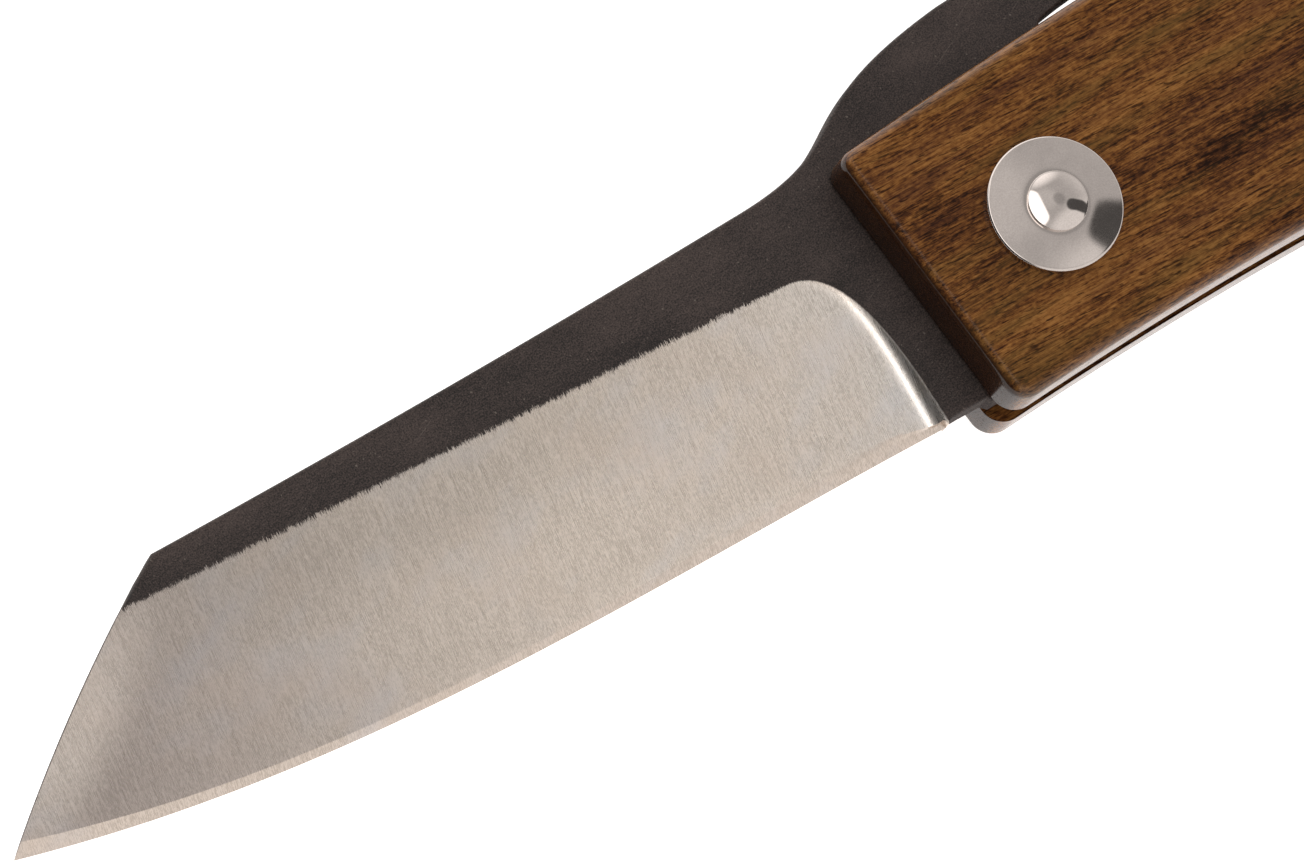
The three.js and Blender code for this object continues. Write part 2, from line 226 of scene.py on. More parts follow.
class Bench:
    """Adds nodes to one node tree."""

    def __init__(self, tree: bpy.types.NodeTree) -> None:
        """Clears the node tree of a material or of the world for work."""
        self.tree = tree
        tree.nodes.clear()

    def add(
        self,
        kind: str,
        settings: Optional[dict[str, object]] = None,
        inputs: Optional[dict[Union[str, int], object]] = None,
    ) -> Node:
        """Adds a node, with its settings first and then its sockets.

        Args:
            kind: The node's type.
            settings: Its properties by name. The entry "stops" lists a ramp's places and colours.
            inputs: The value, Value or socket of each input, by name or number.

        Returns:
            The node.
        """
        node = self.tree.nodes.new(kind)
        for name, value in (settings or {}).items():
            if name == "stops":
                self._set_stops(node.color_ramp, value)
            else:
                setattr(node, name, value)
        for name, value in (inputs or {}).items():
            socket = node.inputs[name]
            if isinstance(value, Value):
                value = value.socket
            if isinstance(value, Socket):
                self.tree.links.new(value, socket)
            else:
                socket.default_value = (*value, 1.0) if socket.type == "RGBA" else value
        return node

    @staticmethod
    def _set_stops(ramp: bpy.types.ColorRamp, stops: Stops) -> None:
        """Sets the stops of a colour ramp.

        Args:
            ramp: The ramp of a new node, which has two stops.
            stops: Each stop's place and colour, in order.
        """
        while len(ramp.elements) < len(stops):
            ramp.elements.new(1.0)
        for element, (place, colour) in zip(ramp.elements, stops):
            element.position = place
            element.color = (*colour, 1.0)

    def vectors(self, operation: str, *operands: object) -> Node:
        """Adds a Vector Math node on vectors or their sockets."""
        return self.add("ShaderNodeVectorMath", {"operation": operation}, dict(enumerate(operands)))

    def dot(self, first: object, second: object) -> Value:
        """Gives the dot product of two vectors or vector sockets."""
        return Value(self, self.vectors("DOT_PRODUCT", first, second).outputs["Value"])

    def part(self, vector: Socket, name: str) -> Value:
        """Gives the X, Y or Z of a vector."""
        return Value(self, self.add("ShaderNodeSeparateXYZ", inputs={0: vector}).outputs[name])

    def axis(self, name: str) -> Value:
        """Gives the X, Y or Z of the Object coordinates, in millimetres about the pivot."""
        return self.part(self.stretched((1.0, 1.0, 1.0)), name)

    def facing(self, name: str) -> Value:
        """Gives how far the surface faces along the piece's X, Y or Z, from 0 to 1."""
        return self.part(self.add("ShaderNodeTexCoord").outputs["Normal"], name).size()

    def attribute(self, name: str) -> Value:
        """Gives a number that the mesh carries at its points."""
        return Value(self, self.add("ShaderNodeAttribute", {"attribute_name": name}).outputs["Fac"])

    def stretched(self, size_mm: Triple, turn: float = 0.0, place_mm: Triple = (0.0, 0.0, 0.0)) -> Socket:
        """Gives Object coordinates about a point, turned and divided by a feature's size.

        Args:
            size_mm: How long, high and deep one feature is.
            turn: The angle from the knife's length to the feature's length, in degrees.
            place_mm: The point, from the pivot.

        Returns:
            The vector socket.
        """
        inputs = {
            "Vector": self.add("ShaderNodeTexCoord").outputs["Object"],
            "Location": PIVOT + Vector(place_mm) * MM,
            "Rotation": (0.0, 0.0, math.radians(turn)),
            "Scale": [size * MM for size in size_mm],
        }
        return self.add("ShaderNodeMapping", {"vector_type": "TEXTURE"}, inputs).outputs["Vector"]

    def noise(self, pattern: Pattern) -> Value:
        """Adds a noise pattern.

        Args:
            pattern: The pattern.

        Returns:
            Its value, around 0.5, or the share of its peaks.
        """
        inputs = {
            "Vector": self.stretched(pattern.size_mm, pattern.turn),
            "Scale": 1.0,
            "Detail": pattern.detail,
            "Roughness": pattern.roughness,
            "Distortion": pattern.distortion,
        }
        node = self.add("ShaderNodeTexNoise", {"noise_dimensions": "3D"}, inputs)
        value = Value(self, node.outputs["Fac"])
        return value.eased(*pattern.peaks) if pattern.peaks else value

    def noises(self, *patterns: Pattern) -> list[Value]:
        """Adds several noise patterns."""
        return [self.noise(pattern) for pattern in patterns]

    def spot(self, spot: Spot) -> Value:
        """Adds a soft spot.

        Args:
            spot: The spot.

        Returns:
            Its strength in its middle, and 0 outside.
        """
        place = self.stretched((spot.length, spot.height, spot.depth), spot.turn, (spot.x, spot.y, 0.0))
        away = Value(self, self.vectors("LENGTH", place).outputs["Value"])
        return away.eased(1.0, spot.core) * spot.strength

    def ramp(self, value: Number, stops: Stops) -> Socket:
        """Turns a value from 0 to 1 into a colour."""
        return self.add("ShaderNodeValToRGB", {"stops": stops}, {"Fac": value}).outputs["Color"]

    def blend(self, share: Number, first: object, second: object, how: str = "MIX") -> Socket:
        """Mixes two colours.

        Args:
            share: How much of the second there is.
            first: The first colour or its socket.
            second: The second colour or its socket.
            how: The mode of mixing.

        Returns:
            The colour socket.
        """
        factor, colour_a, colour_b, result = 0, 6, 7, 2
        inputs = {factor: share, colour_a: first, colour_b: second}
        return self.add("ShaderNodeMix", {"data_type": "RGBA", "blend_type": how}, inputs).outputs[result]

    def bump(self, height: Number, depth_mm: float, under: Optional[Socket] = None) -> Socket:
        """Makes a normal from a height pattern.

        Args:
            height: The pattern.
            depth_mm: How deep a step from 0 to 1 is.
            under: The normal that it lies on.

        Returns:
            The normal socket.
        """
        inputs = {"Height": height, "Distance": depth_mm * MM, "Strength": 1.0}
        if under is not None:
            inputs["Normal"] = under
        return self.add("ShaderNodeBump", inputs=inputs).outputs["Normal"]

    def surface(self, **sockets: object) -> None:
        """Adds the Principled shader and the material's output.

        Args:
            **sockets: The shader's inputs, with underscores for spaces.
        """
        inputs = {name.replace("_", " "): value for name, value in sockets.items()}
        shader = self.add("ShaderNodeBsdfPrincipled", inputs=inputs)
        self.add("ShaderNodeOutputMaterial", inputs={"Surface": shader.outputs["BSDF"]})


@dataclass(frozen=True)
class Finish:
    """A finish that a piece can be given."""

    name: str

    def material(self) -> bpy.types.Material:
        """Makes the finish, or gives it again where it has been made.

        Returns:
            The material.
        """
        made = bpy.data.materials.get(self.name)
        if made is None:
            made = bpy.data.materials.new(self.name)
            made.use_nodes = True
            self.lay(Bench(made.node_tree))
        return made

    def lay(self, bench: Bench) -> None:
        """Lays the finish's nodes on a bench."""
        raise NotImplementedError


@dataclass(frozen=True)
class ForgedSteel(Finish):
    """Black forge scale with bright ground bevels, told apart by how far a point is inside the grind."""

    name: str = "forged_and_ground_steel"
    specular: float = 0.36

    # The ragged border of the grind, with hairs, tears and fine specks in millimetres
    hairs: Pattern = Pattern((0.05, 1.3, 1.3), -8.7, 2.0, 0.6)
    ragged: Pattern = Pattern((0.7, 1.2, 1.2), -8.7, 4.0, 0.7)
    fine: Pattern = Pattern((0.08, 0.3, 0.3), -8.7, 2.0, 0.7)
    stray_mm: Triple = (1.15, 0.45, 0.5)
    border_mm: Pair = (-0.05, 0.1)
    # A band this wide inside the grind's border is lightened and polished
    border_band_mm: float = 0.5
    ragged_ahead: Pair = (15.5, 23.0)
    calm: float = 0.08

    # The ground bevels, toned by their scratches, clouds and fine specks, with painted shade towards the
    # point and a painted sheen on the clip
    ground: Stops = ((0.12, (0.74, 0.685, 0.62)), (0.88, (1.0, 0.93, 0.86)))
    ground_light: Triple = (1.0, 0.93, 0.86)
    blue: Triple = (0.8, 0.84, 0.91)
    pink: Triple = (0.93, 0.82, 0.73)
    honed: Triple = (0.74, 0.695, 0.665)
    honed_facing: Pair = (0.1, 0.2)
    scratches: Pattern = Pattern((0.07, 2.4, 2.4), -8.7, 3.0, 0.75)
    long_scratches: Pattern = Pattern((0.07, 16.0, 16.0), -10.2, 1.0, peaks=(0.67, 0.74))
    clouds: Pattern = Pattern((7.0, 3.5, 3.5), 20.0)
    blush: Pattern = Pattern((5.0, 8.0, 8.0), 50.0)
    ground_tone: Triple = (2.4, 0.4, 3.6)
    ground_roughness: float = 0.29
    ground_roughness_swing: float = 0.22
    blue_gain: float = 1.6
    pink_gain: float = 1.8
    scratch_shine: float = 0.8
    border_lightening: float = 0.3
    border_polish: float = 0.05
    scratch_depth: float = 0.002
    # Painted shade: the bevels' colour darkens along the blade towards the point, by these stops over this
    # length in millimetres
    length: float = 90.0
    fade: Stops = (
        (0.17, (1.0, 1.0, 1.0)),
        (0.27, (0.985, 0.945, 0.91)),
        (0.45, (0.98, 0.94, 0.9)),
        (0.6, (0.86, 0.825, 0.795)),
        (0.71, (0.705, 0.675, 0.66)),
        (0.83, (0.58, 0.55, 0.55)),
        (0.94, (0.51, 0.48, 0.48)),
    )
    # Painted shadow: a soft dark spot over the upper middle of the blade
    dull: Spot = Spot(-50.0, 6.5, 34.0, 9.0, -4.2, 0.18)
    # Painted sheen: a soft light spot along the clip near the point, in the colour below
    painted_sheen_spot: Spot = Spot(-79.5, 3.9, 14.5, 4.6, 34.1, 0.68)
    painted_sheen_colour: Triple = (0.94, 0.92, 0.91)

    # The black scale, worn by its grit, skin and patches
    scale: Stops = ((0.08, (0.0085, 0.0055, 0.005)), (0.95, (0.079, 0.057, 0.05)))
    fleck_colour: Triple = (0.2, 0.17, 0.145)
    grit: Pattern = Pattern((0.12, 0.12, 0.12), 0.0, 2.0, 0.7)
    skin: Pattern = Pattern((0.5, 0.4, 0.4), 0.0, 5.0, 0.65)
    patches: Pattern = Pattern((6.0, 3.0, 3.0))
    flecks: Pattern = Pattern((0.22, 0.3, 0.3), 35.0, 0.0, peaks=(0.79, 0.84))
    lines: Pattern = Pattern((9.0, 0.09, 0.09), 24.0, 1.0, peaks=(0.72, 0.8))
    scale_tone: Triple = (3.0, 0.8, 0.8)
    scale_relief: Triple = (0.6, 1.0, 1.5)
    relief_depth: float = 0.01
    heat_mm: Pair = (-2.6, -0.1)
    heat_share: float = 0.16
    fleck_share: float = 0.5
    line_share: float = 0.3
    most_marked: float = 0.7
    scale_roughness: float = 0.4
    scale_roughness_swing: float = 0.25
    scale_metallic: float = 0.02
    wall_facing: Pair = (0.6, 0.2)
    wall_roughness: float = 0.5

    def lay(self, bench: Bench) -> None:
        """Lays the finish's nodes on a bench.

        Args:
            bench: The bench.
        """
        reach = bench.attribute("ground_reach")
        ahead = bench.axis("X") * -1.0
        hairs, ragged, fine = bench.noises(self.hairs, self.ragged, self.fine)
        wildness = ahead.eased(*self.ragged_ahead) * (1.0 - self.calm) + self.calm
        stray = mixed((hairs, ragged, fine), self.stray_mm, 0.0)
        ground = (reach + stray * wildness).eased(*self.border_mm)
        near_line = reach.eased(self.border_band_mm, 0.0) * wildness

        scratches, clouds, blush = bench.noises(self.scratches, self.clouds, self.blush)
        bright = bench.ramp(mixed((scratches, clouds, fine), self.ground_tone), self.ground)
        bright = bench.blend(clouds.past(NOISE_MIDDLE, self.blue_gain), bright, self.blue)
        bright = bench.blend(blush.past(NOISE_MIDDLE, self.pink_gain), bright, self.pink)
        # Scratches and the band inside the grind's border lighten the bevel
        shine = bench.noise(self.long_scratches) * self.scratch_shine + near_line * self.border_lightening
        bright = bench.blend(shine, bright, self.ground_light)
        # Painted light on the bevels: darker towards the point, a painted shadow spot and a painted sheen on
        # the clip; the honed facet keeps its own tone
        fade = bench.ramp(ahead * (1.0 / self.length), self.fade)
        fade = bench.blend(bench.spot(self.dull), fade, BLACK)
        fade = bench.blend(bench.spot(self.painted_sheen_spot), fade, self.painted_sheen_colour)
        fade = bench.blend(bench.facing("Y").eased(*self.honed_facing), fade, self.honed)
        bright = bench.blend(1.0, bright, fade, "MULTIPLY")

        marks = bench.noises(self.grit, self.skin, self.patches)
        wear = mixed(marks, self.scale_tone) - reach.eased(*self.heat_mm) * self.heat_share
        flecks = bench.noise(self.flecks) * self.fleck_share + bench.noise(self.lines) * self.line_share
        flecks = flecks.at_most(self.most_marked)
        black = bench.blend(flecks, bench.ramp(wear, self.scale), self.fleck_colour)
        walls = bench.facing("Z").eased(*self.wall_facing) * self.wall_roughness
        black_roughness = marks[1].swing(self.scale_roughness_swing) + self.scale_roughness + walls
        ground_roughness = scratches.swing(self.ground_roughness_swing) + self.ground_roughness
        ground_roughness = ground_roughness - near_line * self.border_polish
        relief = bench.bump(mixed(marks, self.scale_relief), self.relief_depth)
        bench.surface(
            Base_Color=bench.blend(ground, black, bright),
            Metallic=ground * (1.0 - self.scale_metallic) + self.scale_metallic,
            Roughness=black_roughness * (1.0 - ground) + ground_roughness * ground,
            Normal=bench.bump(scratches * ground, self.scratch_depth, relief),
            Specular_IOR_Level=self.specular,
        )


@dataclass(frozen=True)
class Hardwood(Finish):
    """Dark streaked hardwood under a thin lacquer, grain along the handle, ends darkened as end grain and
    painted shade.
    """

    name: str = "streaked_hardwood"
    colours: Stops = (
        (0.12, (0.015, 0.006, 0.0035)),
        (0.38, (0.088, 0.0315, 0.0102)),
        (0.6, (0.178, 0.07, 0.0185)),
        (0.95, (0.31, 0.14, 0.039)),
    )
    dark: Triple = (0.015, 0.006, 0.0035)
    plum: Triple = (0.075, 0.027, 0.016)
    olive: Triple = (0.13, 0.078, 0.021)
    # The ends' colour: dark end grain, with painted shade of the end walls
    end_grain_and_shade: Triple = (0.017, 0.0055, 0.0022)
    streaks: Pattern = Pattern((4.4, 0.4, 0.4), -3.0, 4.0, 0.68, 0.9)
    bands: Pattern = Pattern((26.0, 3.6, 3.6), 0.0, 3.0, 0.5, 0.4)
    fibres: Pattern = Pattern((1.7, 0.1, 0.1), 0.0, 3.0, 0.6, 0.5)
    mottle: Pattern = Pattern((0.5, 0.3, 0.3), -3.0, 3.0, 0.6)
    flecks: Pattern = Pattern((1.4, 0.13, 0.13), -6.0, 2.0, 0.5, 0.5, (0.57, 0.66))
    tint: Pattern = Pattern((16.0, 2.0, 2.0), 1.0)
    tone: tuple[float, ...] = (1.25, 0.7, 1.4, 1.0)
    tone_middle: float = 0.53
    # Soft darker and lighter patches of the wood's tone, each about a given point
    tone_patches: tuple[Spot, ...] = (
        Spot(15.5, -2.6, 11.0, 2.6, 11.0, -0.22),
        Spot(-7.5, 4.0, 5.0, 3.2, -4.0, -0.18),
        Spot(14.5, -8.2, 7.0, 2.4, 0.0, -0.16),
        Spot(-4.0, -6.8, 6.0, 2.6, -6.0, 0.12),
        Spot(6.5, 3.6, 9.0, 2.0, -2.0, 0.12),
    )
    plum_past: Pair = (0.52, 2.2)
    olive_past: Pair = (0.47, -2.4)
    fleck_share: float = 0.78
    end_facing: Pair = (0.45, 0.85)
    end_grain_and_shade_share: float = 0.92
    edge_facing: Pair = (0.985, 0.8)
    gloss: float = 0.16
    edge_gloss: float = 0.6
    gloss_lost_in_flecks: float = 0.4
    gloss_roughness: float = 0.1
    gloss_ior: float = 1.5
    roughness: float = 0.5
    fibre_polish: float = 0.2
    fibre_relief: float = 0.6
    fleck_relief: float = 0.8
    grain_depth: float = 0.005
    specular: float = 0.02

    def lay(self, bench: Bench) -> None:
        """Lays the finish's nodes on a bench.

        Args:
            bench: The bench.
        """
        grain = bench.noises(self.streaks, self.bands, self.fibres, self.mottle)
        flecks, tint = bench.noises(self.flecks, self.tint)
        tone = mixed(grain, self.tone, self.tone_middle)
        for spot in self.tone_patches:
            tone = tone + bench.spot(spot)
        colour = bench.ramp(tone, self.colours)
        colour = bench.blend(tint.past(*self.plum_past), colour, self.plum)
        colour = bench.blend(tint.past(*self.olive_past), colour, self.olive)
        colour = bench.blend(flecks * self.fleck_share, colour, self.dark)
        # Darkens the ends by how far they face along X: end grain, and painted shade
        ends = bench.facing("X").eased(*self.end_facing) * self.end_grain_and_shade_share
        edges = bench.facing("Z").eased(*self.edge_facing)
        fibres = grain[2]
        relief = fibres * self.fibre_relief - flecks * self.fleck_relief
        bench.surface(
            Base_Color=bench.blend(ends, colour, self.end_grain_and_shade),
            Roughness=self.roughness - fibres.swing(self.fibre_polish),
            Normal=bench.bump(relief, self.grain_depth),
            Specular_IOR_Level=self.specular,
            Coat_Weight=(edges * self.edge_gloss + self.gloss) * (1.0 - flecks * self.gloss_lost_in_flecks),
            Coat_Roughness=self.gloss_roughness,
            Coat_IOR=self.gloss_ior,
        )


@dataclass(frozen=True)
class SatinMetal(Finish):
    """Bare metal with a fine speckled grain and marks of handling."""

    light: Triple = (0.68, 0.62, 0.585)
    dark: Triple = (0.56, 0.51, 0.48)
    roughness: float = 0.085
    grain: Pattern = Pattern((0.12, 0.12, 0.12), 0.0, 3.0, 0.6)
    handling: Pattern = Pattern((1.6, 1.1, 1.1), 30.0)
    grain_depth: float = 0.0006
    tone: Pair = (1.2, 0.6)
    roughness_swing: Pair = (0.06, 0.05)
    dark_at: float = 0.2
    light_at: float = 0.8

    def lay(self, bench: Bench) -> None:
        """Lays the finish's nodes on a bench.

        Args:
            bench: The bench.
        """
        marks = bench.noises(self.grain, self.handling)
        stops = ((self.dark_at, self.dark), (self.light_at, self.light))
        bench.surface(
            Base_Color=bench.ramp(mixed(marks, self.tone), stops),
            Metallic=1.0,
            Roughness=mixed(marks, self.roughness_swing, self.roughness),
            Normal=bench.bump(marks[0], self.grain_depth),
        )


BLADE_STEEL = ForgedSteel()
WOOD = Hardwood()
WASHER_STEEL = SatinMetal("polished_washer_steel")
HEAD_STEEL = SatinMetal("polished_rivet_steel", roughness=0.06, grain_depth=0.0003)
PIN_STEEL = SatinMetal("drawn_pin_steel", (0.56, 0.54, 0.51), (0.42, 0.4, 0.38), 0.3)
SPACER_STEEL = SatinMetal("ground_spacer_steel", (0.36, 0.34, 0.325), (0.24, 0.23, 0.22), 0.38)
BRONZE = SatinMetal("dull_friction_bronze", (0.5, 0.31, 0.13), (0.34, 0.19, 0.08), 0.42)


# Outlines and finished pieces


def flat(x: float, y: float, z: float = 0.0) -> Vector:
    """Gives a point."""
    return Vector((x, y, z))


ORIGIN = flat(0.0, 0.0)


def curve(controls: Sequence[Vector], steps: int) -> list[Vector]:
    """Samples a Bezier curve of any degree.

    Args:
        controls: Its control points.
        steps: How many stretches it is cut into.

    Returns:
        One point more than there are steps.
    """
    samples = []
    for i in range(steps + 1):
        row = list(controls)
        while len(row) > 1:
            row = [first.lerp(second, i / steps) for first, second in zip(row, row[1:])]
        samples.append(row[0])
    return samples


def arc(centre: Vector, radius: float, start: float, end: float, steps: int) -> list[Vector]:
    """Samples an arc between two angles, with one point more than there are steps."""
    angles = [start + (end - start) * i / steps for i in range(steps + 1)]
    return [centre + radius * flat(math.cos(a), math.sin(a)) for a in angles]


def without_doubles(points: Iterable[Vector], reach: float = 0.01) -> list[Vector]:
    """Leaves out each point that stands on the one before it, and the last if it stands on the first.

    Args:
        points: The points.
        reach: How near two points are that count as one.

    Returns:
        The points that are left.
    """
    kept: list[Vector] = []
    for point in points:
        if not kept or (point - kept[-1]).length > reach:
            kept.append(point)
    if (kept[0] - kept[-1]).length <= reach:
        kept.pop()
    return kept


def spread(line: Sequence[Vector], steps: int) -> list[Vector]:
    """Places points at equal steps along a line.

    Args:
        line: The line's own points, close together.
        steps: How many steps it is cut into.

    Returns:
        One point more than there are steps.
    """
    lengths = [0.0]
    for first, second in zip(line, line[1:]):
        lengths.append(lengths[-1] + (second - first).length)
    placed = []
    index = 0
    for i in range(steps + 1):
        wanted = lengths[-1] * i / steps
        while index < len(line) - 2 and lengths[index + 1] < wanted:
            index += 1
        stretch = max(lengths[index + 1] - lengths[index], TINY)
        placed.append(line[index].lerp(line[index + 1], min(1.0, (wanted - lengths[index]) / stretch)))
    return placed


def distance_to(place: Vector, line: Sequence[Vector], tree: KDTree) -> float:
    """Gives the distance from a point to a line.

    Args:
        place: The point.
        line: The line's own points.
        tree: The same points, ready to be searched.

    Returns:
        The distance.
    """
    index = tree.find(place)[1]
    nearest = math.inf
    for first, second in zip(line[max(index - 1, 0) : index + 1], line[max(index, 1) : index + 2]):
        share = intersect_point_line(place, first, second)[1]
        nearest = min(nearest, (first.lerp(second, min(1.0, max(0.0, share))) - place).length)
    return nearest


def mitred(normals: Sequence[Vector]) -> Vector:
    """Gives the move that takes two sides, given by their outward directions, outwards by 1 each."""
    middle = sum(normals, ORIGIN).normalized()
    return middle / max(middle.dot(normals[0]), LEAST_MITRE)


def draw(mesh: BMesh, points: Sequence[Vector], closed: bool = True) -> list[BMEdge]:
    """Draws a line of edges through points.

    Args:
        mesh: The mesh that gets them.
        points: The points in order.
        closed: Whether the last point joins the first.

    Returns:
        The edges.
    """
    verts = [mesh.verts.new(point) for point in points]
    pairs = list(zip(verts, verts[1:]))
    if closed:
        pairs.append((verts[-1], verts[0]))
    return [mesh.edges.new(pair) for pair in pairs]


def turned(profile: Sequence[Vector], steps: int) -> BMesh:
    """Turns a profile about the pivot's axis.

    Args:
        profile: Its points from one end to the other, with the radius as X and the height as Y.
        steps: How many stretches the turn is cut into.

    Returns:
        The mesh.
    """
    mesh = bmesh.new()
    edges = draw(mesh, [flat(point.x, 0.0, point.y) for point in profile], closed=False)
    turn = {"axis": ZUP, "cent": ORIGIN, "angle": 4 * QUARTER, "steps": steps, "use_merge": True}
    bmesh.ops.spin(mesh, geom=[*edges, *mesh.verts], **turn)
    bmesh.ops.remove_doubles(mesh, verts=mesh.verts, dist=MERGE_MM)
    return mesh


def alike_ends(upper: Sequence[Vector]) -> list[Vector]:
    """Gives the profile of a pin from that of its upper end."""
    return [*(flat(p.x, -p.y) for p in reversed(upper)), *upper]


def make_object(name: str, mesh: BMesh, material: bpy.types.Material) -> bpy.types.Object:
    """Makes an object of the scene from a mesh, which is used up.

    Args:
        name: The object's name.
        mesh: The mesh.
        material: Its only material.

    Returns:
        The object.
    """
    data = bpy.data.meshes.new(name)
    mesh.to_mesh(data)
    mesh.free()
    data.materials.append(material)
    made = bpy.data.objects.new(name, data)
    bpy.context.scene.collection.objects.link(made)
    return made


@dataclass
class Piece:
    """What a finished piece is called, what it rides on and what it stands for."""

    name: str
    body: Body
    slot: Slot
    finish: Finish
    nodes: tuple[str, ...]
    smooth_degrees: float = 35.0

    def from_mesh(self, mesh: BMesh) -> bpy.types.Object:
        """Finishes a piece from its mesh, which is used up.

        Args:
            mesh: The mesh in millimetres about the pivot.

        Returns:
            The piece in its place.
        """
        bmesh.ops.remove_doubles(mesh, verts=mesh.verts, dist=MERGE_MM)
        bmesh.ops.recalc_face_normals(mesh, faces=mesh.faces)
        for face in mesh.faces:
            face.smooth = True
        for edge in mesh.edges:
            if len(edge.link_faces) == 2 and edge.calc_face_angle() > math.radians(self.smooth_degrees):
                edge.smooth = False
        place = Matrix.Translation(PIVOT) @ Matrix.Scale(MM, 4)
        bmesh.ops.transform(mesh, matrix=place, verts=mesh.verts)
        made = make_object(self.name, mesh, self.finish.material())
        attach(made, self.body.value)
        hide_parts(*self.nodes)
        log.info("%s: %d faces, rides on %s", self.name, len(made.data.polygons), self.body.value)
        return made


@dataclass
class Hole:
    """A round hole through a plate."""

    centre: Vector
    radius: float
    sides: int


@dataclass
class Plate:
    """A flat plate with holes, whose upper and lower edges are rounded."""

    outline: list[Vector]
    low: float
    high: float
    low_round: float
    high_round: float
    round_steps: int
    support: float
    holes: list[Hole] = field(default_factory=list)

    def mesh(self) -> BMesh:
        """Builds the plate, with +Z as its upper side.

        Returns:
            The mesh.
        """
        mesh = bmesh.new()
        edges = draw(mesh, [flat(p.x, p.y, self.low + self.low_round) for p in self.outline])
        floor = bmesh.ops.contextual_create(mesh, geom=edges)["faces"][0]
        if floor.normal.z > 0:
            floor.normal_flip()
        top = bmesh.ops.extrude_face_region(mesh, geom=[floor], use_keep_orig=True)["geom"]
        lid = next(item for item in top if isinstance(item, BMFace))
        rise = self.high - self.high_round - self.low - self.low_round
        bmesh.ops.translate(mesh, verts=lid.verts, vec=ZUP * rise)
        if lid.normal.z < 0:
            lid.normal_flip()
        self._round_over(mesh, lid, self.high_round)
        self._round_over(mesh, floor, self.low_round)
        rims = ((list(lid.edges), self.high), (list(floor.edges), self.low))
        bmesh.ops.delete(mesh, geom=[lid, floor], context="FACES_ONLY")
        bores: list[list[BMEdge]] = [[] for _ in self.holes]
        for sheet, level in rims:
            for hole, bore in zip(self.holes, bores):
                ring = self._ring(mesh, hole, level)
                sheet += ring
                bore += ring
            bmesh.ops.triangle_fill(mesh, use_beauty=True, use_dissolve=False, edges=sheet, normal=ZUP)
        for bore in bores:
            bmesh.ops.bridge_loops(mesh, edges=bore)
        return mesh

    def _round_over(self, mesh: BMesh, face: BMFace, radius: float) -> None:
        """Rounds the edge of a face over and leaves a narrow flat strip inside the round.

        Args:
            mesh: The plate's mesh.
            face: Its upper or lower face.
            radius: The radius of the round.
        """
        for i in range(self.round_steps):
            start, end = (QUARTER * k / self.round_steps for k in (i, i + 1))
            width = radius * (math.cos(start) - math.cos(end))
            depth = radius * (math.sin(end) - math.sin(start))
            bmesh.ops.inset_region(mesh, faces=[face], use_even_offset=True, thickness=width, depth=depth)
        bmesh.ops.inset_region(mesh, faces=[face], use_even_offset=True, thickness=self.support)

    @staticmethod
    def _ring(mesh: BMesh, hole: Hole, level: float) -> list[BMEdge]:
        """Draws the rim of a hole.

        Args:
            mesh: The plate's mesh.
            hole: The hole.
            level: The height of the face that it opens in.

        Returns:
            The rim's edges.
        """
        place = Matrix.Translation(flat(hole.centre.x, hole.centre.y, level))
        made = bmesh.ops.create_circle(mesh, segments=hole.sides, radius=hole.radius, matrix=place)
        return list({edge for vert in made["verts"] for edge in vert.link_edges})


# The knife's sub-assemblies


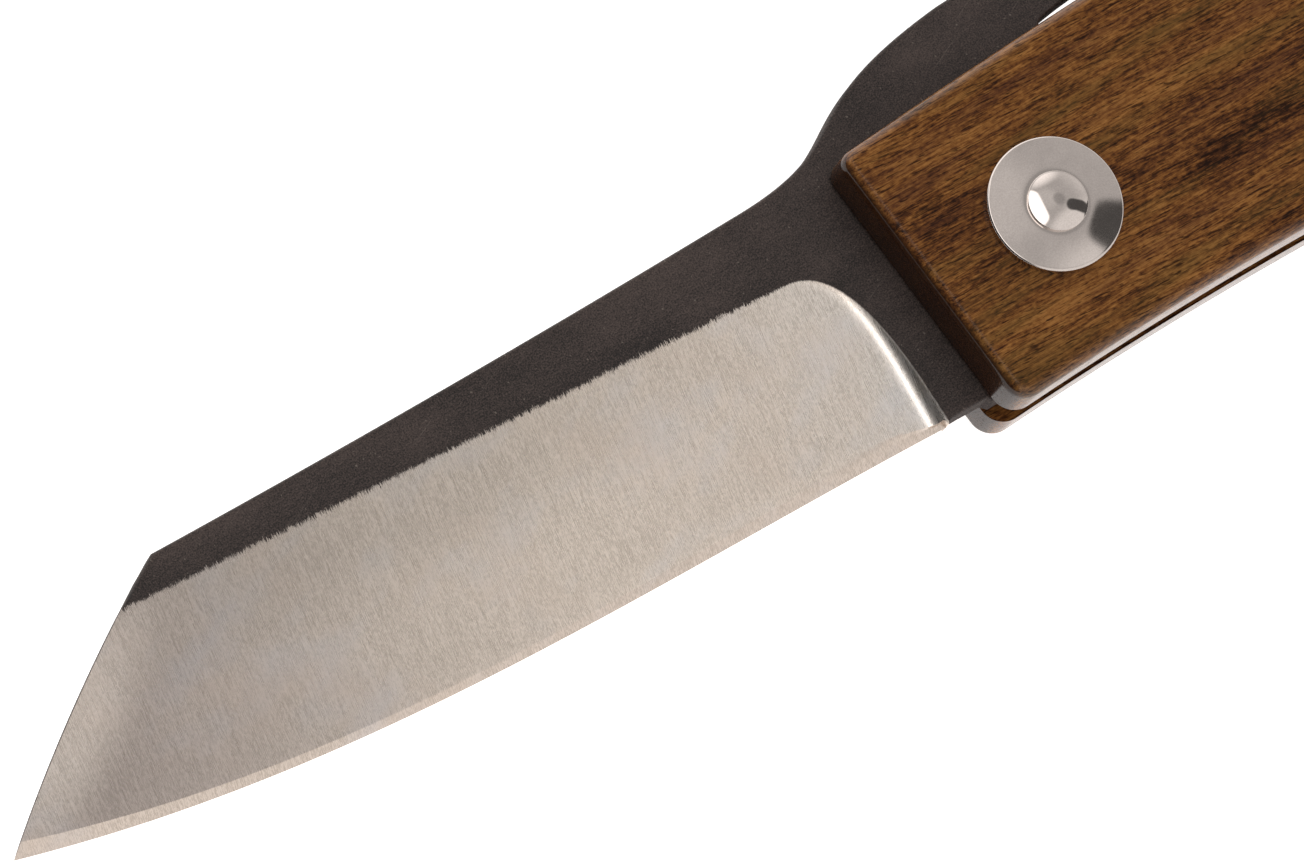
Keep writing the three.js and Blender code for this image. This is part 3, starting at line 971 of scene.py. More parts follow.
@dataclass
class HandleForm:
    """The form of the handle, which the scales and the spacer share."""

    front: float = 10.9
    front_lean: float = math.radians(3.8)
    rear: float = 98.0
    bottom: float = 10.75
    finger_hollow_rear: float = 26.0
    finger_hollow_depth: float = 0.4
    back_at_front: float = 10.82
    back_at_crown: float = 12.67
    back_at_butt: float = 10.97
    front_top_round: float = 1.2
    front_bottom_round: float = 1.8
    butt_round: float = 6.0
    slot_half: float = 1.37
    scale_thickness: float = 4.0
    spacer_nose: float = 9.0
    spacer_underside: float = 9.45
    strip_underside_at_butt: float = 6.8
    butt_block_depth: float = 7.0
    butt_block_fillet: float = 4.0
    butt_block_slant: float = 2.5
    pins_behind: Triple = (33.0, 58.0, 83.0)
    butt_pin_above: float = 0.0
    hollow_steps: int = 30
    back_steps: int = 60
    butt_steps: int = 24
    spacer_butt_steps: int = 20
    top_corner_steps: int = 12
    bottom_corner_steps: int = 14
    fillet_steps: int = 12

    @property
    def scale_face(self) -> float:
        """The height of a scale's outer face."""
        return self.slot_half + self.scale_thickness

    @property
    def block_front(self) -> float:
        """Where the block at the butt begins."""
        return self.rear - self.butt_block_depth

    def _front_corner(self, radius: float, height: float) -> Vector:
        """Gives the middle of a rounded corner of the leaning front, from its radius and height."""
        lean = self.front_lean
        return flat(-self.front + (radius - height * math.sin(lean)) / math.cos(lean), height)

    def _top_corner(self) -> Vector:
        """Gives the middle of the front's upper corner."""
        return self._front_corner(self.front_top_round, self.back_at_front - self.front_top_round)

    def _back_controls(self) -> list[Vector]:
        """Gives the control points of the back.

        Returns:
            The points from the butt to the front.
        """
        crown = 2 * self.back_at_crown - (self.back_at_front + self.back_at_butt) / 2
        return [
            flat(self.rear - self.butt_round, self.back_at_butt),
            flat((self.rear - self.front) / 2, crown),
            flat(self._top_corner().x, self.back_at_front),
        ]

    def back_height(self, x: float) -> float:
        """Gives the height of the handle's back.

        Args:
            x: The place along the handle.

        Returns:
            The height.
        """
        share = (x + self.front) / (self.rear + self.front)
        middle = self._back_controls()[1].y
        rest = 1 - share
        return rest**2 * self.back_at_front + 2 * rest * share * middle + share**2 * self.back_at_butt

    def _butt(self, start: float, steps: int) -> list[Vector]:
        """Draws the round corners of the butt.

        Args:
            start: The angle where the lower corner starts.
            steps: How many stretches it is cut into.

        Returns:
            The points from below.
        """
        radius = self.butt_round
        low, high = (flat(self.rear - radius, y) for y in (radius - self.bottom, self.back_at_butt - radius))
        return [*arc(low, radius, start, 0.0, steps), *arc(high, radius, 0.0, QUARTER, self.butt_steps)]

    def outline(self) -> list[Vector]:
        """Draws the outline of the handle.

        Returns:
            The points, anticlockwise from the front lower corner.
        """
        low = self.front_bottom_round
        low_corner = self._front_corner(low, low - self.bottom)
        hollow_end = flat(self.finger_hollow_rear, -self.bottom)
        hollow_pull = flat((low_corner.x + hollow_end.x) / 2, 2 * self.finger_hollow_depth - self.bottom)
        leaning = 2 * QUARTER + self.front_lean
        points = [
            *curve([flat(low_corner.x, -self.bottom), hollow_pull, hollow_end], self.hollow_steps),
            *self._butt(-QUARTER, self.butt_steps),
            *curve(self._back_controls(), self.back_steps),
            *arc(self._top_corner(), self.front_top_round, QUARTER, leaning, self.top_corner_steps),
            *arc(low_corner, low, leaning, 3 * QUARTER, self.bottom_corner_steps),
        ]
        return without_doubles(points)

    def underside(self, x: float) -> float:
        """Gives the height of the spacer strip's underside at a place along it."""
        share = (x - self.spacer_nose) / (self.block_front - self.spacer_nose)
        return self.spacer_underside + share * (self.strip_underside_at_butt - self.spacer_underside)

    def spacer_outline(self) -> list[Vector]:
        """Draws the spacer: a strip under the handle's back and a block at the butt.

        Returns:
            The points, anticlockwise from the block's foot.
        """
        block, fillet, radius = self.block_front, self.butt_block_fillet, self.butt_round
        inner = [
            flat(block - fillet, self.underside(block - fillet)),
            flat(block, self.underside(block)),
            flat(block, self.underside(block) - fillet),
        ]
        foot = block + self.butt_block_slant - (self.rear - radius)
        points = [
            *self._butt(math.asin(foot / radius) - QUARTER, self.spacer_butt_steps),
            *(p for p in curve(self._back_controls(), self.back_steps) if p.x > self.spacer_nose),
            flat(self.spacer_nose, self.back_height(self.spacer_nose)),
            flat(self.spacer_nose, self.spacer_underside),
            *curve(inner, self.fillet_steps),
        ]
        return without_doubles(points)

    def pin_places(self) -> list[Vector]:
        """Gives the places of the spacer's pins.

        Returns:
            The places from the front to the butt.
        """
        strip = [flat(x, (self.underside(x) + self.back_height(x)) / 2) for x in self.pins_behind]
        block = self.block_front + (self.butt_block_depth + self.butt_block_slant) / 2
        return [*strip, flat(block, self.butt_pin_above)]


@dataclass
class Handle:
    """The two scales, the spacer between them and the pins that hold it."""

    form: HandleForm
    edge_round: float = 1.0
    inner_break: float = 0.12
    edge_steps: int = 10
    scale_support: float = 0.03
    spacer_break: float = 0.06
    spacer_edge_steps: int = 2
    spacer_support: float = 0.01
    pin_radius: float = 0.8
    pin_clearance: float = 0.05
    pin_dome: float = 0.1
    pin_dome_steps: int = 6
    pin_sides: int = 40
    pin_hole_sides: int = 32
    bore_radius: float = 1.55
    bore_sides: int = 48
    pin_nodes: tuple[str, ...] = ("front_spacer_pin", "middle_spacer_pin", "rear_spacer_pin", "butt_pin")

    def build(self) -> list[bpy.types.Object]:
        """Builds and dresses the handle's pieces."""
        pins = zip(self.pin_nodes, self.form.pin_places())
        return [*map(self._scale, Side), self._spacer(), *(self._pin(*pin) for pin in pins)]

    def _pin_holes(self) -> list[Hole]:
        """Gives the holes for the spacer's pins."""
        radius = self.pin_radius + self.pin_clearance
        return [Hole(place, radius, self.pin_hole_sides) for place in self.form.pin_places()]

    def _scale(self, side: Side) -> bpy.types.Object:
        """Makes a wooden scale.

        Args:
            side: The side of the knife that it lies on.

        Returns:
            The scale.
        """
        form = self.form
        rounds = (self.inner_break, self.edge_round, self.edge_steps, self.scale_support)
        holes = [Hole(ORIGIN, self.bore_radius, self.bore_sides), *self._pin_holes()]
        mesh = Plate(form.outline(), form.slot_half, form.scale_face, *rounds, holes).mesh()
        bmesh.ops.scale(mesh, vec=(1, 1, side.value), verts=mesh.verts)
        node = f"{side.name.lower()}_scale"
        return Piece(f"{node}_wood", Body.HANDLE, Slot.WOOD, WOOD, (node,)).from_mesh(mesh)

    def _spacer(self) -> bpy.types.Object:
        """Makes the spacer.

        Returns:
            The spacer.
        """
        half = self.form.slot_half
        rounds = (self.spacer_break, self.spacer_break, self.spacer_edge_steps, self.spacer_support)
        plate = Plate(self.form.spacer_outline(), -half, half, *rounds, self._pin_holes())
        piece = Piece("back_spacer_strip", Body.HANDLE, Slot.SPACER, SPACER_STEEL, ("back_spacer",))
        return piece.from_mesh(plate.mesh())

    def _pin(self, node: str, place: Vector) -> bpy.types.Object:
        """Makes a pin with slightly domed ends.

        Args:
            node: The pin's node.
            place: Where it stands.

        Returns:
            The pin.
        """
        ball = (self.pin_radius**2 + self.pin_dome**2) / (2 * self.pin_dome)
        half_angle = math.asin(self.pin_radius / ball)
        dome = []
        for i in range(self.pin_dome_steps + 1):
            lean = half_angle * (1 - i / self.pin_dome_steps)
            drop = ball * (math.cos(half_angle) - math.cos(lean))
            dome.append(flat(ball * math.sin(lean), self.form.scale_face - drop))
        mesh = turned(alike_ends(dome), self.pin_sides)
        bmesh.ops.translate(mesh, verts=mesh.verts, vec=place)
        return Piece(f"{node}_rod", Body.HANDLE, Slot.PIN, PIN_STEEL, (node,)).from_mesh(mesh)


@dataclass
class Pivot:
    """The riveted pin and the two dished washers under its heads, with the friction washers inside."""

    form: HandleForm
    shank: float = 1.5
    bore: float = 1.55
    washer_radius: float = 5.0
    rim: float = 0.65
    crown: float = 1.0
    seat: float = 2.35
    edge_round: float = 0.2
    dish_pull: float = 0.6
    dish_steepening: float = 1.35
    crown_pull: float = 0.9
    crown_drop: float = 0.055
    washer_edge_steps: int = 8
    dish_steps: int = 20
    washer_sides: int = 144
    head_radius: float = 2.2
    head_height: float = 0.7
    head_side: float = 0.24
    corner_round: float = 0.05
    corner_steps: int = 4
    dome_slope: float = math.radians(20.0)
    dome_flat: float = 0.4
    dome_steps: int = 24
    head_sides: int = 96

    def build(self) -> list[bpy.types.Object]:
        """Builds and dresses the pivot's pieces.

        Returns:
            The pieces.
        """
        made = [self._pin(), *map(self._washer, Side)]
        for side in Side:
            disc = frame["nodes"][f"{side.name.lower()}_friction_washer"]
            disc.data.materials.clear()
            disc.data.materials.append(BRONZE.material())
            log.info("%s: kept from the frame", disc.name)
        return made

    def _washer(self, side: Side) -> bpy.types.Object:
        """Makes a dished washer.

        Args:
            side: The side of the knife that it lies on.

        Returns:
            The washer.
        """
        outer = self.washer_radius - self.edge_round
        slope = (self.crown - self.rim) / (outer - self.seat) * self.dish_steepening
        rim_middle = flat(outer, self.rim - self.edge_round)
        rim = arc(rim_middle, self.edge_round, 0.0, QUARTER, self.washer_edge_steps)
        dish = [
            flat(outer, self.rim),
            flat(outer - self.dish_pull, self.rim + self.dish_pull * slope),
            flat(self.seat + self.crown_pull, self.crown - self.crown_drop),
            flat(self.seat, self.crown),
        ]
        profile = [flat(self.bore, 0.0), flat(self.washer_radius, 0.0), *rim]
        profile += [*curve(dish, self.dish_steps), flat(self.bore, self.crown)]
        placed = [p + flat(0.0, self.form.scale_face) for p in without_doubles(profile, PROFILE_GAP_MM)]
        mesh = turned([*placed, placed[0]], self.washer_sides)
        bmesh.ops.scale(mesh, vec=(1, 1, side.value), verts=mesh.verts)
        node = f"{side.name.lower()}_pivot_washer"
        piece = Piece(f"{node}_dish", Body.HANDLE, Slot.WASHER, WASHER_STEEL, (node,))
        return piece.from_mesh(mesh)

    def _pin(self) -> bpy.types.Object:
        """Makes the pin with a domed head at each end.

        Returns:
            The pin.
        """
        seat = self.form.scale_face + self.crown
        top = seat + self.head_height
        corner, radius = self.corner_round, self.head_radius
        shoulder = flat(radius - corner, seat + self.head_side + corner)
        steep = radius * (1 - self.dome_flat) / 2
        dome = [
            shoulder,
            shoulder + steep * flat(-1, math.tan(self.dome_slope)),
            flat(radius * self.dome_flat, top),
            flat(0, top),
        ]
        rim = [flat(radius, shoulder.y - corner), flat(radius, shoulder.y), shoulder]
        head = without_doubles([*curve(rim, self.corner_steps), *curve(dome, self.dome_steps)])
        mesh = turned(alike_ends([flat(self.shank, seat), flat(radius, seat), *head]), self.head_sides)
        piece = Piece("pivot_pin_rivet", Body.HANDLE, Slot.WASHER, HEAD_STEEL, ("pivot_pin",))
        return piece.from_mesh(mesh)


@dataclass
class Blade:
    """The forging: ground blade, ricasso, tang and thumb lever."""

    form: HandleForm
    half: float = 1.2
    point_ahead: float = 87.6
    point_below: float = 1.6
    heel_ahead: float = 13.85
    heel_below: float = 8.95
    belly_at_point: float = 8.9
    belly_at_heel: float = 7.8
    clip_ahead: float = 68.1
    clip_above: float = 11.62
    clip_bulge: float = 0.5
    spine_sag: float = 0.25
    spine_above: float = 11.38
    spine_end: float = 19.3
    edge_round: float = 0.2
    round_steps: int = 6
    round_margin: float = 0.15
    round_grows_over: float = 0.4
    wall_lip: float = 0.01
    grind_at_plunge: float = 4.98
    grind_tilt: float = math.radians(4.2)
    bevel_angle: float = math.radians(3.85)
    plunge_lead: float = 4.6
    plunge_drop: float = 10.8
    plunge_radius: float = 1.9
    sharpening_angle: float = math.radians(15.0)
    sharpening_gain_at_point: float = math.radians(6.0)
    sharpening_fades_over: float = 6.0
    sharpening_limit: float = 0.6
    sharpening_margin: float = 0.002
    least_rise: float = 0.5
    edge_land: float = 0.03
    tang_radius: float = 8.2
    ricasso_below: float = 8.75
    foot_front: float = 10.1
    foot_rear: float = 8.6
    foot_below: float = 9.25
    hump_pull: float = 14.8
    hump_slope: float = 0.09
    hump_foot_pull: float = 12.0
    lever_root_behind: float = 2.7
    lever_root_above: float = 17.095
    lever_rest_behind: float = 24.5
    lever_rest_length: float = 2.6
    lever_past_rest: float = 5.9
    lever_waist_above: float = 15.4
    lever_curl_above: float = 16.8
    lever_curl: float = math.radians(35.0)
    lever_end_radius: float = 1.1
    lever_arch: float = 1.0
    lever_root_gap: float = 0.45
    stop_gap: float = 0.2
    bore: float = 1.55
    bore_sides: int = 48
    columns: int = 260
    end_columns: int = 20
    stone_rows: int = 4
    bevel_rows: int = 26
    row_crowding: float = 1.7
    clip_pull: float = 12.0
    least_bow: float = 1e-4
    clip_steps: int = 100
    fine_steps: int = 400
    skew_steps: int = 5
    edge_steps: int = 600
    grind_line_steps: int = 300
    plunge_steps: int = 120
    foot_steps: int = 30
    blank_clip_steps: int = 60
    tang_steps: int = 40
    lever_turn_steps: int = 8
    lever_arch_steps: int = 24
    lever_curl_steps: int = 16
    lever_end_steps: int = 20
    lever_top_steps: int = 40
    hump_steps: int = 60
    spine_steps: int = 40
    mirror_merge: float = 1e-3
    flat_reaches: tuple[float, ...] = (0.1, 0.25, 0.5, 0.9, 1.4)
    smooth_degrees: float = 20.0

    @property
    def far_reach(self) -> float:
        """The reach of points well outside the grind."""
        return -2.0 * self.flat_reaches[-1]

    # Lines of the outline

    def edge_line(self, steps: int) -> list[Vector]:
        """Draws the cutting edge.

        Args:
            steps: How many stretches it is cut into.

        Returns:
            The points from the point to the heel.
        """
        third = (self.point_ahead - self.heel_ahead) / 3
        controls = [
            flat(-self.point_ahead, -self.point_below),
            flat(-self.point_ahead + third, -self.belly_at_point),
            flat(-self.heel_ahead - third, -self.belly_at_heel),
            flat(-self.heel_ahead, -self.heel_below),
        ]
        return curve(controls, steps)

    def clip_line(self, steps: int) -> list[Vector]:
        """Draws the clipped front.

        Args:
            steps: How many stretches it is cut into.

        Returns:
            The points from the point up to the clip's corner.
        """
        point = flat(-self.point_ahead, -self.point_below)
        corner = flat(-self.clip_ahead, self.clip_above)
        along = corner - point
        outwards = flat(-along.y, along.x).normalized() * 2 * self.clip_bulge
        return curve([point, (point + corner) / 2 + outwards, corner], steps)

    def grind_height(self, x: float) -> float:
        """Gives the height of the grind line at a place along the blade."""
        return self.grind_at_plunge - math.tan(self.grind_tilt) * (x + self.heel_ahead)

    def ground_border(self) -> list[Vector]:
        """Draws the border of the grind.

        Returns:
            The points from the clip along the grind line and down the plunge.
        """
        start = next(p for p in self.clip_line(self.fine_steps) if p.y > self.grind_height(p.x))
        turn, heel = -self.heel_ahead - self.plunge_lead, -self.heel_ahead
        foot = self.grind_height(heel) - self.plunge_drop
        plunge = [flat(turn, self.grind_height(turn)), flat(heel, self.grind_height(heel)), flat(heel, foot)]
        line = curve([start, plunge[0]], self.grind_line_steps)[:-1]
        down = curve([plunge[2], flat(heel, -self.ricasso_below)], self.foot_steps)[1:]
        return [*line, *curve(plunge, self.plunge_steps), *down]

    def back_line(self) -> list[Vector]:
        """Draws the blank round the tang and the lever.

        Returns:
            The points from the ricasso to the clip's corner.
        """
        step = self.foot_below - self.ricasso_below
        foot_reach = math.hypot(self.foot_rear, self.foot_below)
        foot_turn = math.atan2(-self.foot_below, -self.foot_rear) + math.acos(self.tang_radius / foot_reach)
        return [
            flat(-self.foot_front - step, -self.ricasso_below),
            flat(-self.foot_front, -self.foot_below),
            flat(-self.foot_rear, -self.foot_below),
            *arc(ORIGIN, self.tang_radius, foot_turn, 0.0, self.tang_steps),
            *self._lever_line(),
            *self._spine_line(),
        ]

    def _lever_line(self) -> list[Vector]:
        """Draws the thumb lever.

        Returns:
            The points from its root over the handle's back, round its end and back.
        """
        tang, gap = self.tang_radius, self.lever_root_gap
        rise = self.form.back_height(self.form.spacer_nose) + gap
        rest_start = self.lever_rest_behind - self.lever_rest_length
        rest_height = self.form.back_height(self.lever_rest_behind) + self.stop_gap
        middle = (tang + rest_start) / 2
        arch = self.form.back_height(middle) + self.lever_arch
        reach = self.lever_rest_behind + self.lever_past_rest
        end = flat(reach - self.lever_end_radius, self.lever_curl_above - self.lever_end_radius)
        across = self.lever_end_radius * flat(math.sin(self.lever_curl), -math.cos(self.lever_curl))
        lower, upper = end + across, end - across
        waist = (self.lever_root_behind + reach) / 2 + self.lever_end_radius
        shoulder = waist / 2 + self.lever_root_behind

        def foot_of(corner: Vector, height: float) -> Vector:
            """Gives the point at a height on the curl's line through a corner."""
            return flat(corner.x - (corner.y - height) / math.tan(self.lever_curl), height)

        root_end = flat(tang + 2 * gap, rise + gap / 2)
        rest_front, rest_end = (flat(x, rest_height) for x in (rest_start, self.lever_rest_behind))
        top = [
            flat(waist, self.lever_waist_above),
            flat(shoulder, self.lever_waist_above),
            flat(shoulder, self.lever_root_above + gap),
            flat(self.lever_root_behind, self.lever_root_above),
        ]
        curl = (self.lever_curl - QUARTER, self.lever_curl + QUARTER)
        return [
            *curve([flat(tang, rise - 2 * gap), flat(tang, rise), root_end], self.lever_turn_steps),
            *curve([root_end, flat(middle, arch + gap), rest_front], self.lever_arch_steps),
            *curve([rest_end, foot_of(lower, rest_height), lower], self.lever_curl_steps),
            *arc(end, self.lever_end_radius, *curl, self.lever_end_steps),
            *curve([upper, foot_of(upper, self.lever_waist_above), top[0]], self.lever_curl_steps),
            *curve(top, self.lever_top_steps),
        ]

    def _spine_line(self) -> list[Vector]:
        """Draws the hump in front of the lever and the spine.

        Returns:
            The points after the lever's root, up to the clip's corner.
        """
        root = flat(self.lever_root_behind, self.lever_root_above)
        spine_end = flat(-self.spine_end, self.spine_above)
        corner = flat(-self.clip_ahead, self.clip_above)
        pull = flat(root.x - self.hump_pull, root.y - self.hump_pull * self.hump_slope)
        foot = flat(spine_end.x + self.hump_foot_pull, spine_end.y)
        sag = (spine_end + corner) / 2 - flat(0, 2 * self.spine_sag)
        hump = curve([root, pull, foot, spine_end], self.hump_steps)[1:]
        return [*hump, *curve([spine_end, sag, corner], self.spine_steps)[1:]]

    # The ground surface

    def _ground_depth(self, point: Vector, from_border: float) -> float:
        """Gives how deep the wheel cuts below the flat at a point.

        Args:
            point: The point in plan.
            from_border: Its distance from the border of the grind.

        Returns:
            The depth of the bevel, less what the wheel's round leaves near the plunge.
        """
        plane = max(0.0, self.grind_height(point.x) - point.y) * math.tan(self.bevel_angle)
        radius = self.plunge_radius
        width = math.sqrt(max(0.0, 2 * radius * plane - plane**2))
        if from_border >= width:
            return plane
        return max(0.0, plane - radius + math.sqrt(radius**2 - (width - from_border) ** 2))

    def _stone_share(self, edge: Vector, border: Vector, rise: float, tan_stone: float) -> float:
        """Gives how far up a column the sharpening stone reaches.

        Args:
            edge: The column's foot on the cutting edge.
            border: Its head on the border of the grind.
            rise: How far the column leaves the edge for each millimetre of its length.
            tan_stone: The tangent of the stone's angle.

        Returns:
            The share of the column's length.
        """
        length = max((border - edge).length, TINY)
        width = (self.half - self._ground_depth(edge, length) - self.edge_land / 2) / tan_stone
        fade = min(1.0, max(0.0, -(edge.x + self.heel_ahead) / self.sharpening_fades_over))
        share = width * math.sqrt(fade) / (length * rise) + self.sharpening_margin
        return min(self.sharpening_limit, share)

    def _ground_sheet(self, mesh: BMesh) -> list[BMVert]:
        """Builds the ground bevel and a strip of the flat beside it on the upper side.

        Args:
            mesh: The blade's mesh.

        Returns:
            The vertices of the strip's inner line, from the clip to the ricasso.
        """
        border_line = self.ground_border()
        border_tree = KDTree(len(border_line))
        for i, point in enumerate(border_line):
            border_tree.insert(point, i)
        border_tree.balance()
        ground_rows = self.stone_rows + self.bevel_rows
        rows = ground_rows + len(self.flat_reaches)
        made = bmesh.ops.create_grid(mesh, x_segments=self.columns, y_segments=rows, size=0.5)["verts"]
        table = sorted(made, key=lambda vert: (round(vert.co.y, 5), round(vert.co.x, 5)))
        width = self.columns + 1
        grid = [table[i * width : (i + 1) * width] for i in range(rows + 1)]
        reach_layer = mesh.verts.layers.float["ground_reach"]
        round_layer = mesh.verts.layers.float["round"]
        edges = spread(self.edge_line(self.edge_steps), self.columns)
        borders = spread(border_line, self.columns)
        clip = [p for p in self.clip_line(self.fine_steps) if p.y <= borders[0].y + TINY]
        clip = spread(clip, self.clip_steps)
        skew = self._clip_skew()
        for i, (foot, head) in enumerate(zip(edges, borders)):
            ahead = 1 - i / self.columns
            tan_stone = math.tan(self.sharpening_angle + self.sharpening_gain_at_point * ahead**2)
            before, after = max(i - 1, 0), min(i + 1, self.columns)
            edge_side = (edges[after] - edges[before]).normalized()
            rise = max(self.least_rise, abs((head - foot).normalized().cross(edge_side).z))
            stone = self._stone_share(foot, head, rise, tan_stone)
            bow = ahead**self.clip_pull
            along = (borders[after] - borders[before]).normalized()
            outwards = flat(-along.y, along.x)
            for j, row in enumerate(grid[: ground_rows + 1]):
                if j <= self.stone_rows:
                    share = stone * j / self.stone_rows
                else:
                    rest = (j - self.stone_rows) / self.bevel_rows
                    share = stone + (1 - stone) * (1 - (1 - rest) ** self.row_crowding)
                place = foot.lerp(head, share)
                if bow > self.least_bow:
                    step = min(self.clip_steps - 1, int(share * self.clip_steps))
                    on_clip = clip[step].lerp(clip[step + 1], share * self.clip_steps - step)
                    place = place.lerp(place + on_clip - edges[0].lerp(borders[0], share), bow)
                from_border = distance_to(place, border_line, border_tree)
                level = self.half - self._ground_depth(place, from_border)
                if j <= self.stone_rows:
                    rim = (place - foot).length * rise
                    level = min(level, self.edge_land / 2 + rim * tan_stone)
                row[i].co = flat(place.x, place.y, level)
                row[i][reach_layer] = from_border
            at_clip = max(0.0, 1 - i / self.end_columns)
            at_ricasso = max(0.0, 1 - (self.columns - i) / self.end_columns)
            drawn_in = at_clip * math.hypot(1.0, skew) - at_ricasso
            for row, reach in zip(grid[ground_rows + 1 :], self.flat_reaches):
                radius = self.edge_round * min(1.0, reach / self.round_grows_over)
                slide = reach * skew * at_clip + radius * (1 + self.round_margin) * drawn_in
                place = head + outwards * reach + along * slide
                row[i].co = flat(place.x, place.y, self.half)
                row[i][reach_layer] = -reach
                row[i][round_layer] = radius
        for row in (grid[ground_rows], grid[self.stone_rows]):
            self._crease(row)
        return grid[-1]

    @staticmethod
    def _crease(row: Sequence[BMVert]) -> None:
        """Marks the edges along a row of vertices as sharp.

        Args:
            row: The vertices in order.
        """
        for first, second in zip(row, row[1:]):
            for edge in first.link_edges:
                if edge.other_vert(first) is second:
                    edge.smooth = False

    def _clip_skew(self) -> float:
        """Gives how the clip leans against the grind line.

        Returns:
            How far its line runs along the grind line for each millimetre that it rises from it.
        """
        clip = self.clip_line(self.fine_steps)
        index = next(i for i, p in enumerate(clip) if p.y > self.grind_height(p.x))
        direction = clip[index + self.skew_steps] - clip[index]
        along = flat(math.cos(self.grind_tilt), -math.sin(self.grind_tilt))
        outwards = flat(math.sin(self.grind_tilt), math.cos(self.grind_tilt))
        return direction.dot(along) / direction.dot(outwards)

    def _flat_sheet(self, mesh: BMesh, inner: list[BMVert]) -> None:
        """Fills the flat of the upper side between the strip beside the grind and the blank's outline.

        Args:
            mesh: The blade's mesh.
            inner: The vertices of the strip's inner line, from the clip to the ricasso.
        """
        clip = self.clip_line(self.blank_clip_steps)
        after = [p for p in clip if p.y > inner[0].co.y + 2 * self.edge_round]
        outline = without_doubles([*self.back_line(), *reversed(after)])
        margin = self.edge_round * (1 + self.round_margin)
        chain = [point - self._outwards(outline, i) * margin for i, point in enumerate(outline)]
        bore = arc(ORIGIN, self.bore, 2 * QUARTER, -2 * QUARTER, self.bore_sides)[:-1]
        placed = []
        for points, radius in ((chain, self.edge_round), (bore, 0.0)):
            verts = [mesh.verts.new(flat(p.x, p.y, self.half)) for p in points]
            for vert in verts:
                vert[mesh.verts.layers.float["ground_reach"]] = self.far_reach
                vert[mesh.verts.layers.float["round"]] = radius
            placed.append(verts)
        rim, ring = placed
        right = len(ring) // 2
        tang_end = min(range(len(outline)), key=lambda i: (outline[i] - flat(self.tang_radius, 0)).length)
        turn = min(range(len(inner)), key=lambda i: abs(inner[i].co.y))
        above = [*inner[: turn + 1], *ring[: right + 1], *rim[tang_end:]]
        below = [*inner[turn:], *rim[: tang_end + 1], *ring[right:], ring[0]]
        for verts in (above, below):
            pairs = zip(verts, [*verts[1:], verts[0]])
            edges = [mesh.edges.get(pair) or mesh.edges.new(pair) for pair in pairs]
            bmesh.ops.edgeloop_fill(mesh, edges=edges)

    @staticmethod
    def _outwards(outline: Sequence[Vector], index: int) -> Vector:
        """Gives the outward direction at a point of an anticlockwise outline.

        Args:
            outline: The outline.
            index: The point's number.

        Returns:
            The direction, longer at a corner so that both sides keep their distance.
        """
        last = len(outline) - 1
        steps = [outline[i + 1] - outline[i] for i in (max(index - 1, 0), min(index, last - 1))]
        first, second = (flat(step.y, -step.x).normalized() for step in steps)
        return mitred([first, second])

    def _rim(self, mesh: BMesh) -> None:
        """Rounds the blank's edge over and walls it down to the middle of the blade.

        Args:
            mesh: The blade's mesh, which is one open sheet.
        """
        layers = mesh.verts.layers
        reach_layer, round_layer = layers.float["ground_reach"], layers.float["round"]
        outward_layer = layers.float_vector["outward"]
        mesh.normal_update()
        rim = [edge for edge in mesh.edges if len(edge.link_faces) == 1]
        sides: dict[BMVert, list[Vector]] = {}
        for edge in rim:
            corner = edge.link_loops[0]
            line = corner.link_loop_next.vert.co - corner.vert.co
            side = flat(line.y, -line.x).normalized() * math.copysign(1.0, corner.face.normal.z)
            for vert in edge.verts:
                sides.setdefault(vert, []).append(side)
        for vert, normals in sides.items():
            vert[outward_layer] = mitred(normals)
        turns = [QUARTER * i / self.round_steps for i in range(self.round_steps + 1)]
        moves = [(self.round_margin, 0.0)]
        moves += [(math.sin(b) - math.sin(a), math.cos(a) - math.cos(b)) for a, b in zip(turns, turns[1:])]
        for outwards, down in moves:
            rim, made = self._extruded(mesh, rim)
            for vert in made:
                vert.co += Vector(vert[outward_layer]) * vert[round_layer] * outwards
                vert.co.z -= vert[round_layer] * down
        rim, made = self._extruded(mesh, rim)
        for vert in made:
            if vert.co.z > self.edge_land:
                vert.co.z -= self.wall_lip
                vert[reach_layer] = self.far_reach
        for vert in self._extruded(mesh, rim)[1]:
            vert.co.z = 0.0

    @staticmethod
    def _extruded(mesh: BMesh, rim: list[BMEdge]) -> tuple[list[BMEdge], list[BMVert]]:
        """Extrudes a rim once.

        Args:
            mesh: The mesh.
            rim: The rim's edges.

        Returns:
            The new rim's edges and vertices.
        """
        made = bmesh.ops.extrude_edge_only(mesh, edges=rim)["geom"]
        edges = [item for item in made if isinstance(item, BMEdge)]
        return edges, [item for item in made if isinstance(item, BMVert)]

    def build(self) -> list[bpy.types.Object]:
        """Builds and dresses the blade.

        Returns:
            The blade alone.
        """
        mesh = bmesh.new()
        layers = mesh.verts.layers
        layers.float.new("ground_reach")
        layers.float.new("round")
        layers.float_vector.new("outward")
        self._flat_sheet(mesh, self._ground_sheet(mesh))
        self._rim(mesh)
        layers.float.remove(layers.float["round"])
        layers.float_vector.remove(layers.float_vector["outward"])
        geom = [*mesh.verts, *mesh.edges, *mesh.faces]
        bmesh.ops.mirror(mesh, geom=geom, axis="Z", merge_dist=self.mirror_merge)
        piece = Piece("blade_forging", Body.BLADE, Slot.BLADE, BLADE_STEEL, ("blade",), self.smooth_degrees)
        return [piece.from_mesh(mesh)]


# The studio


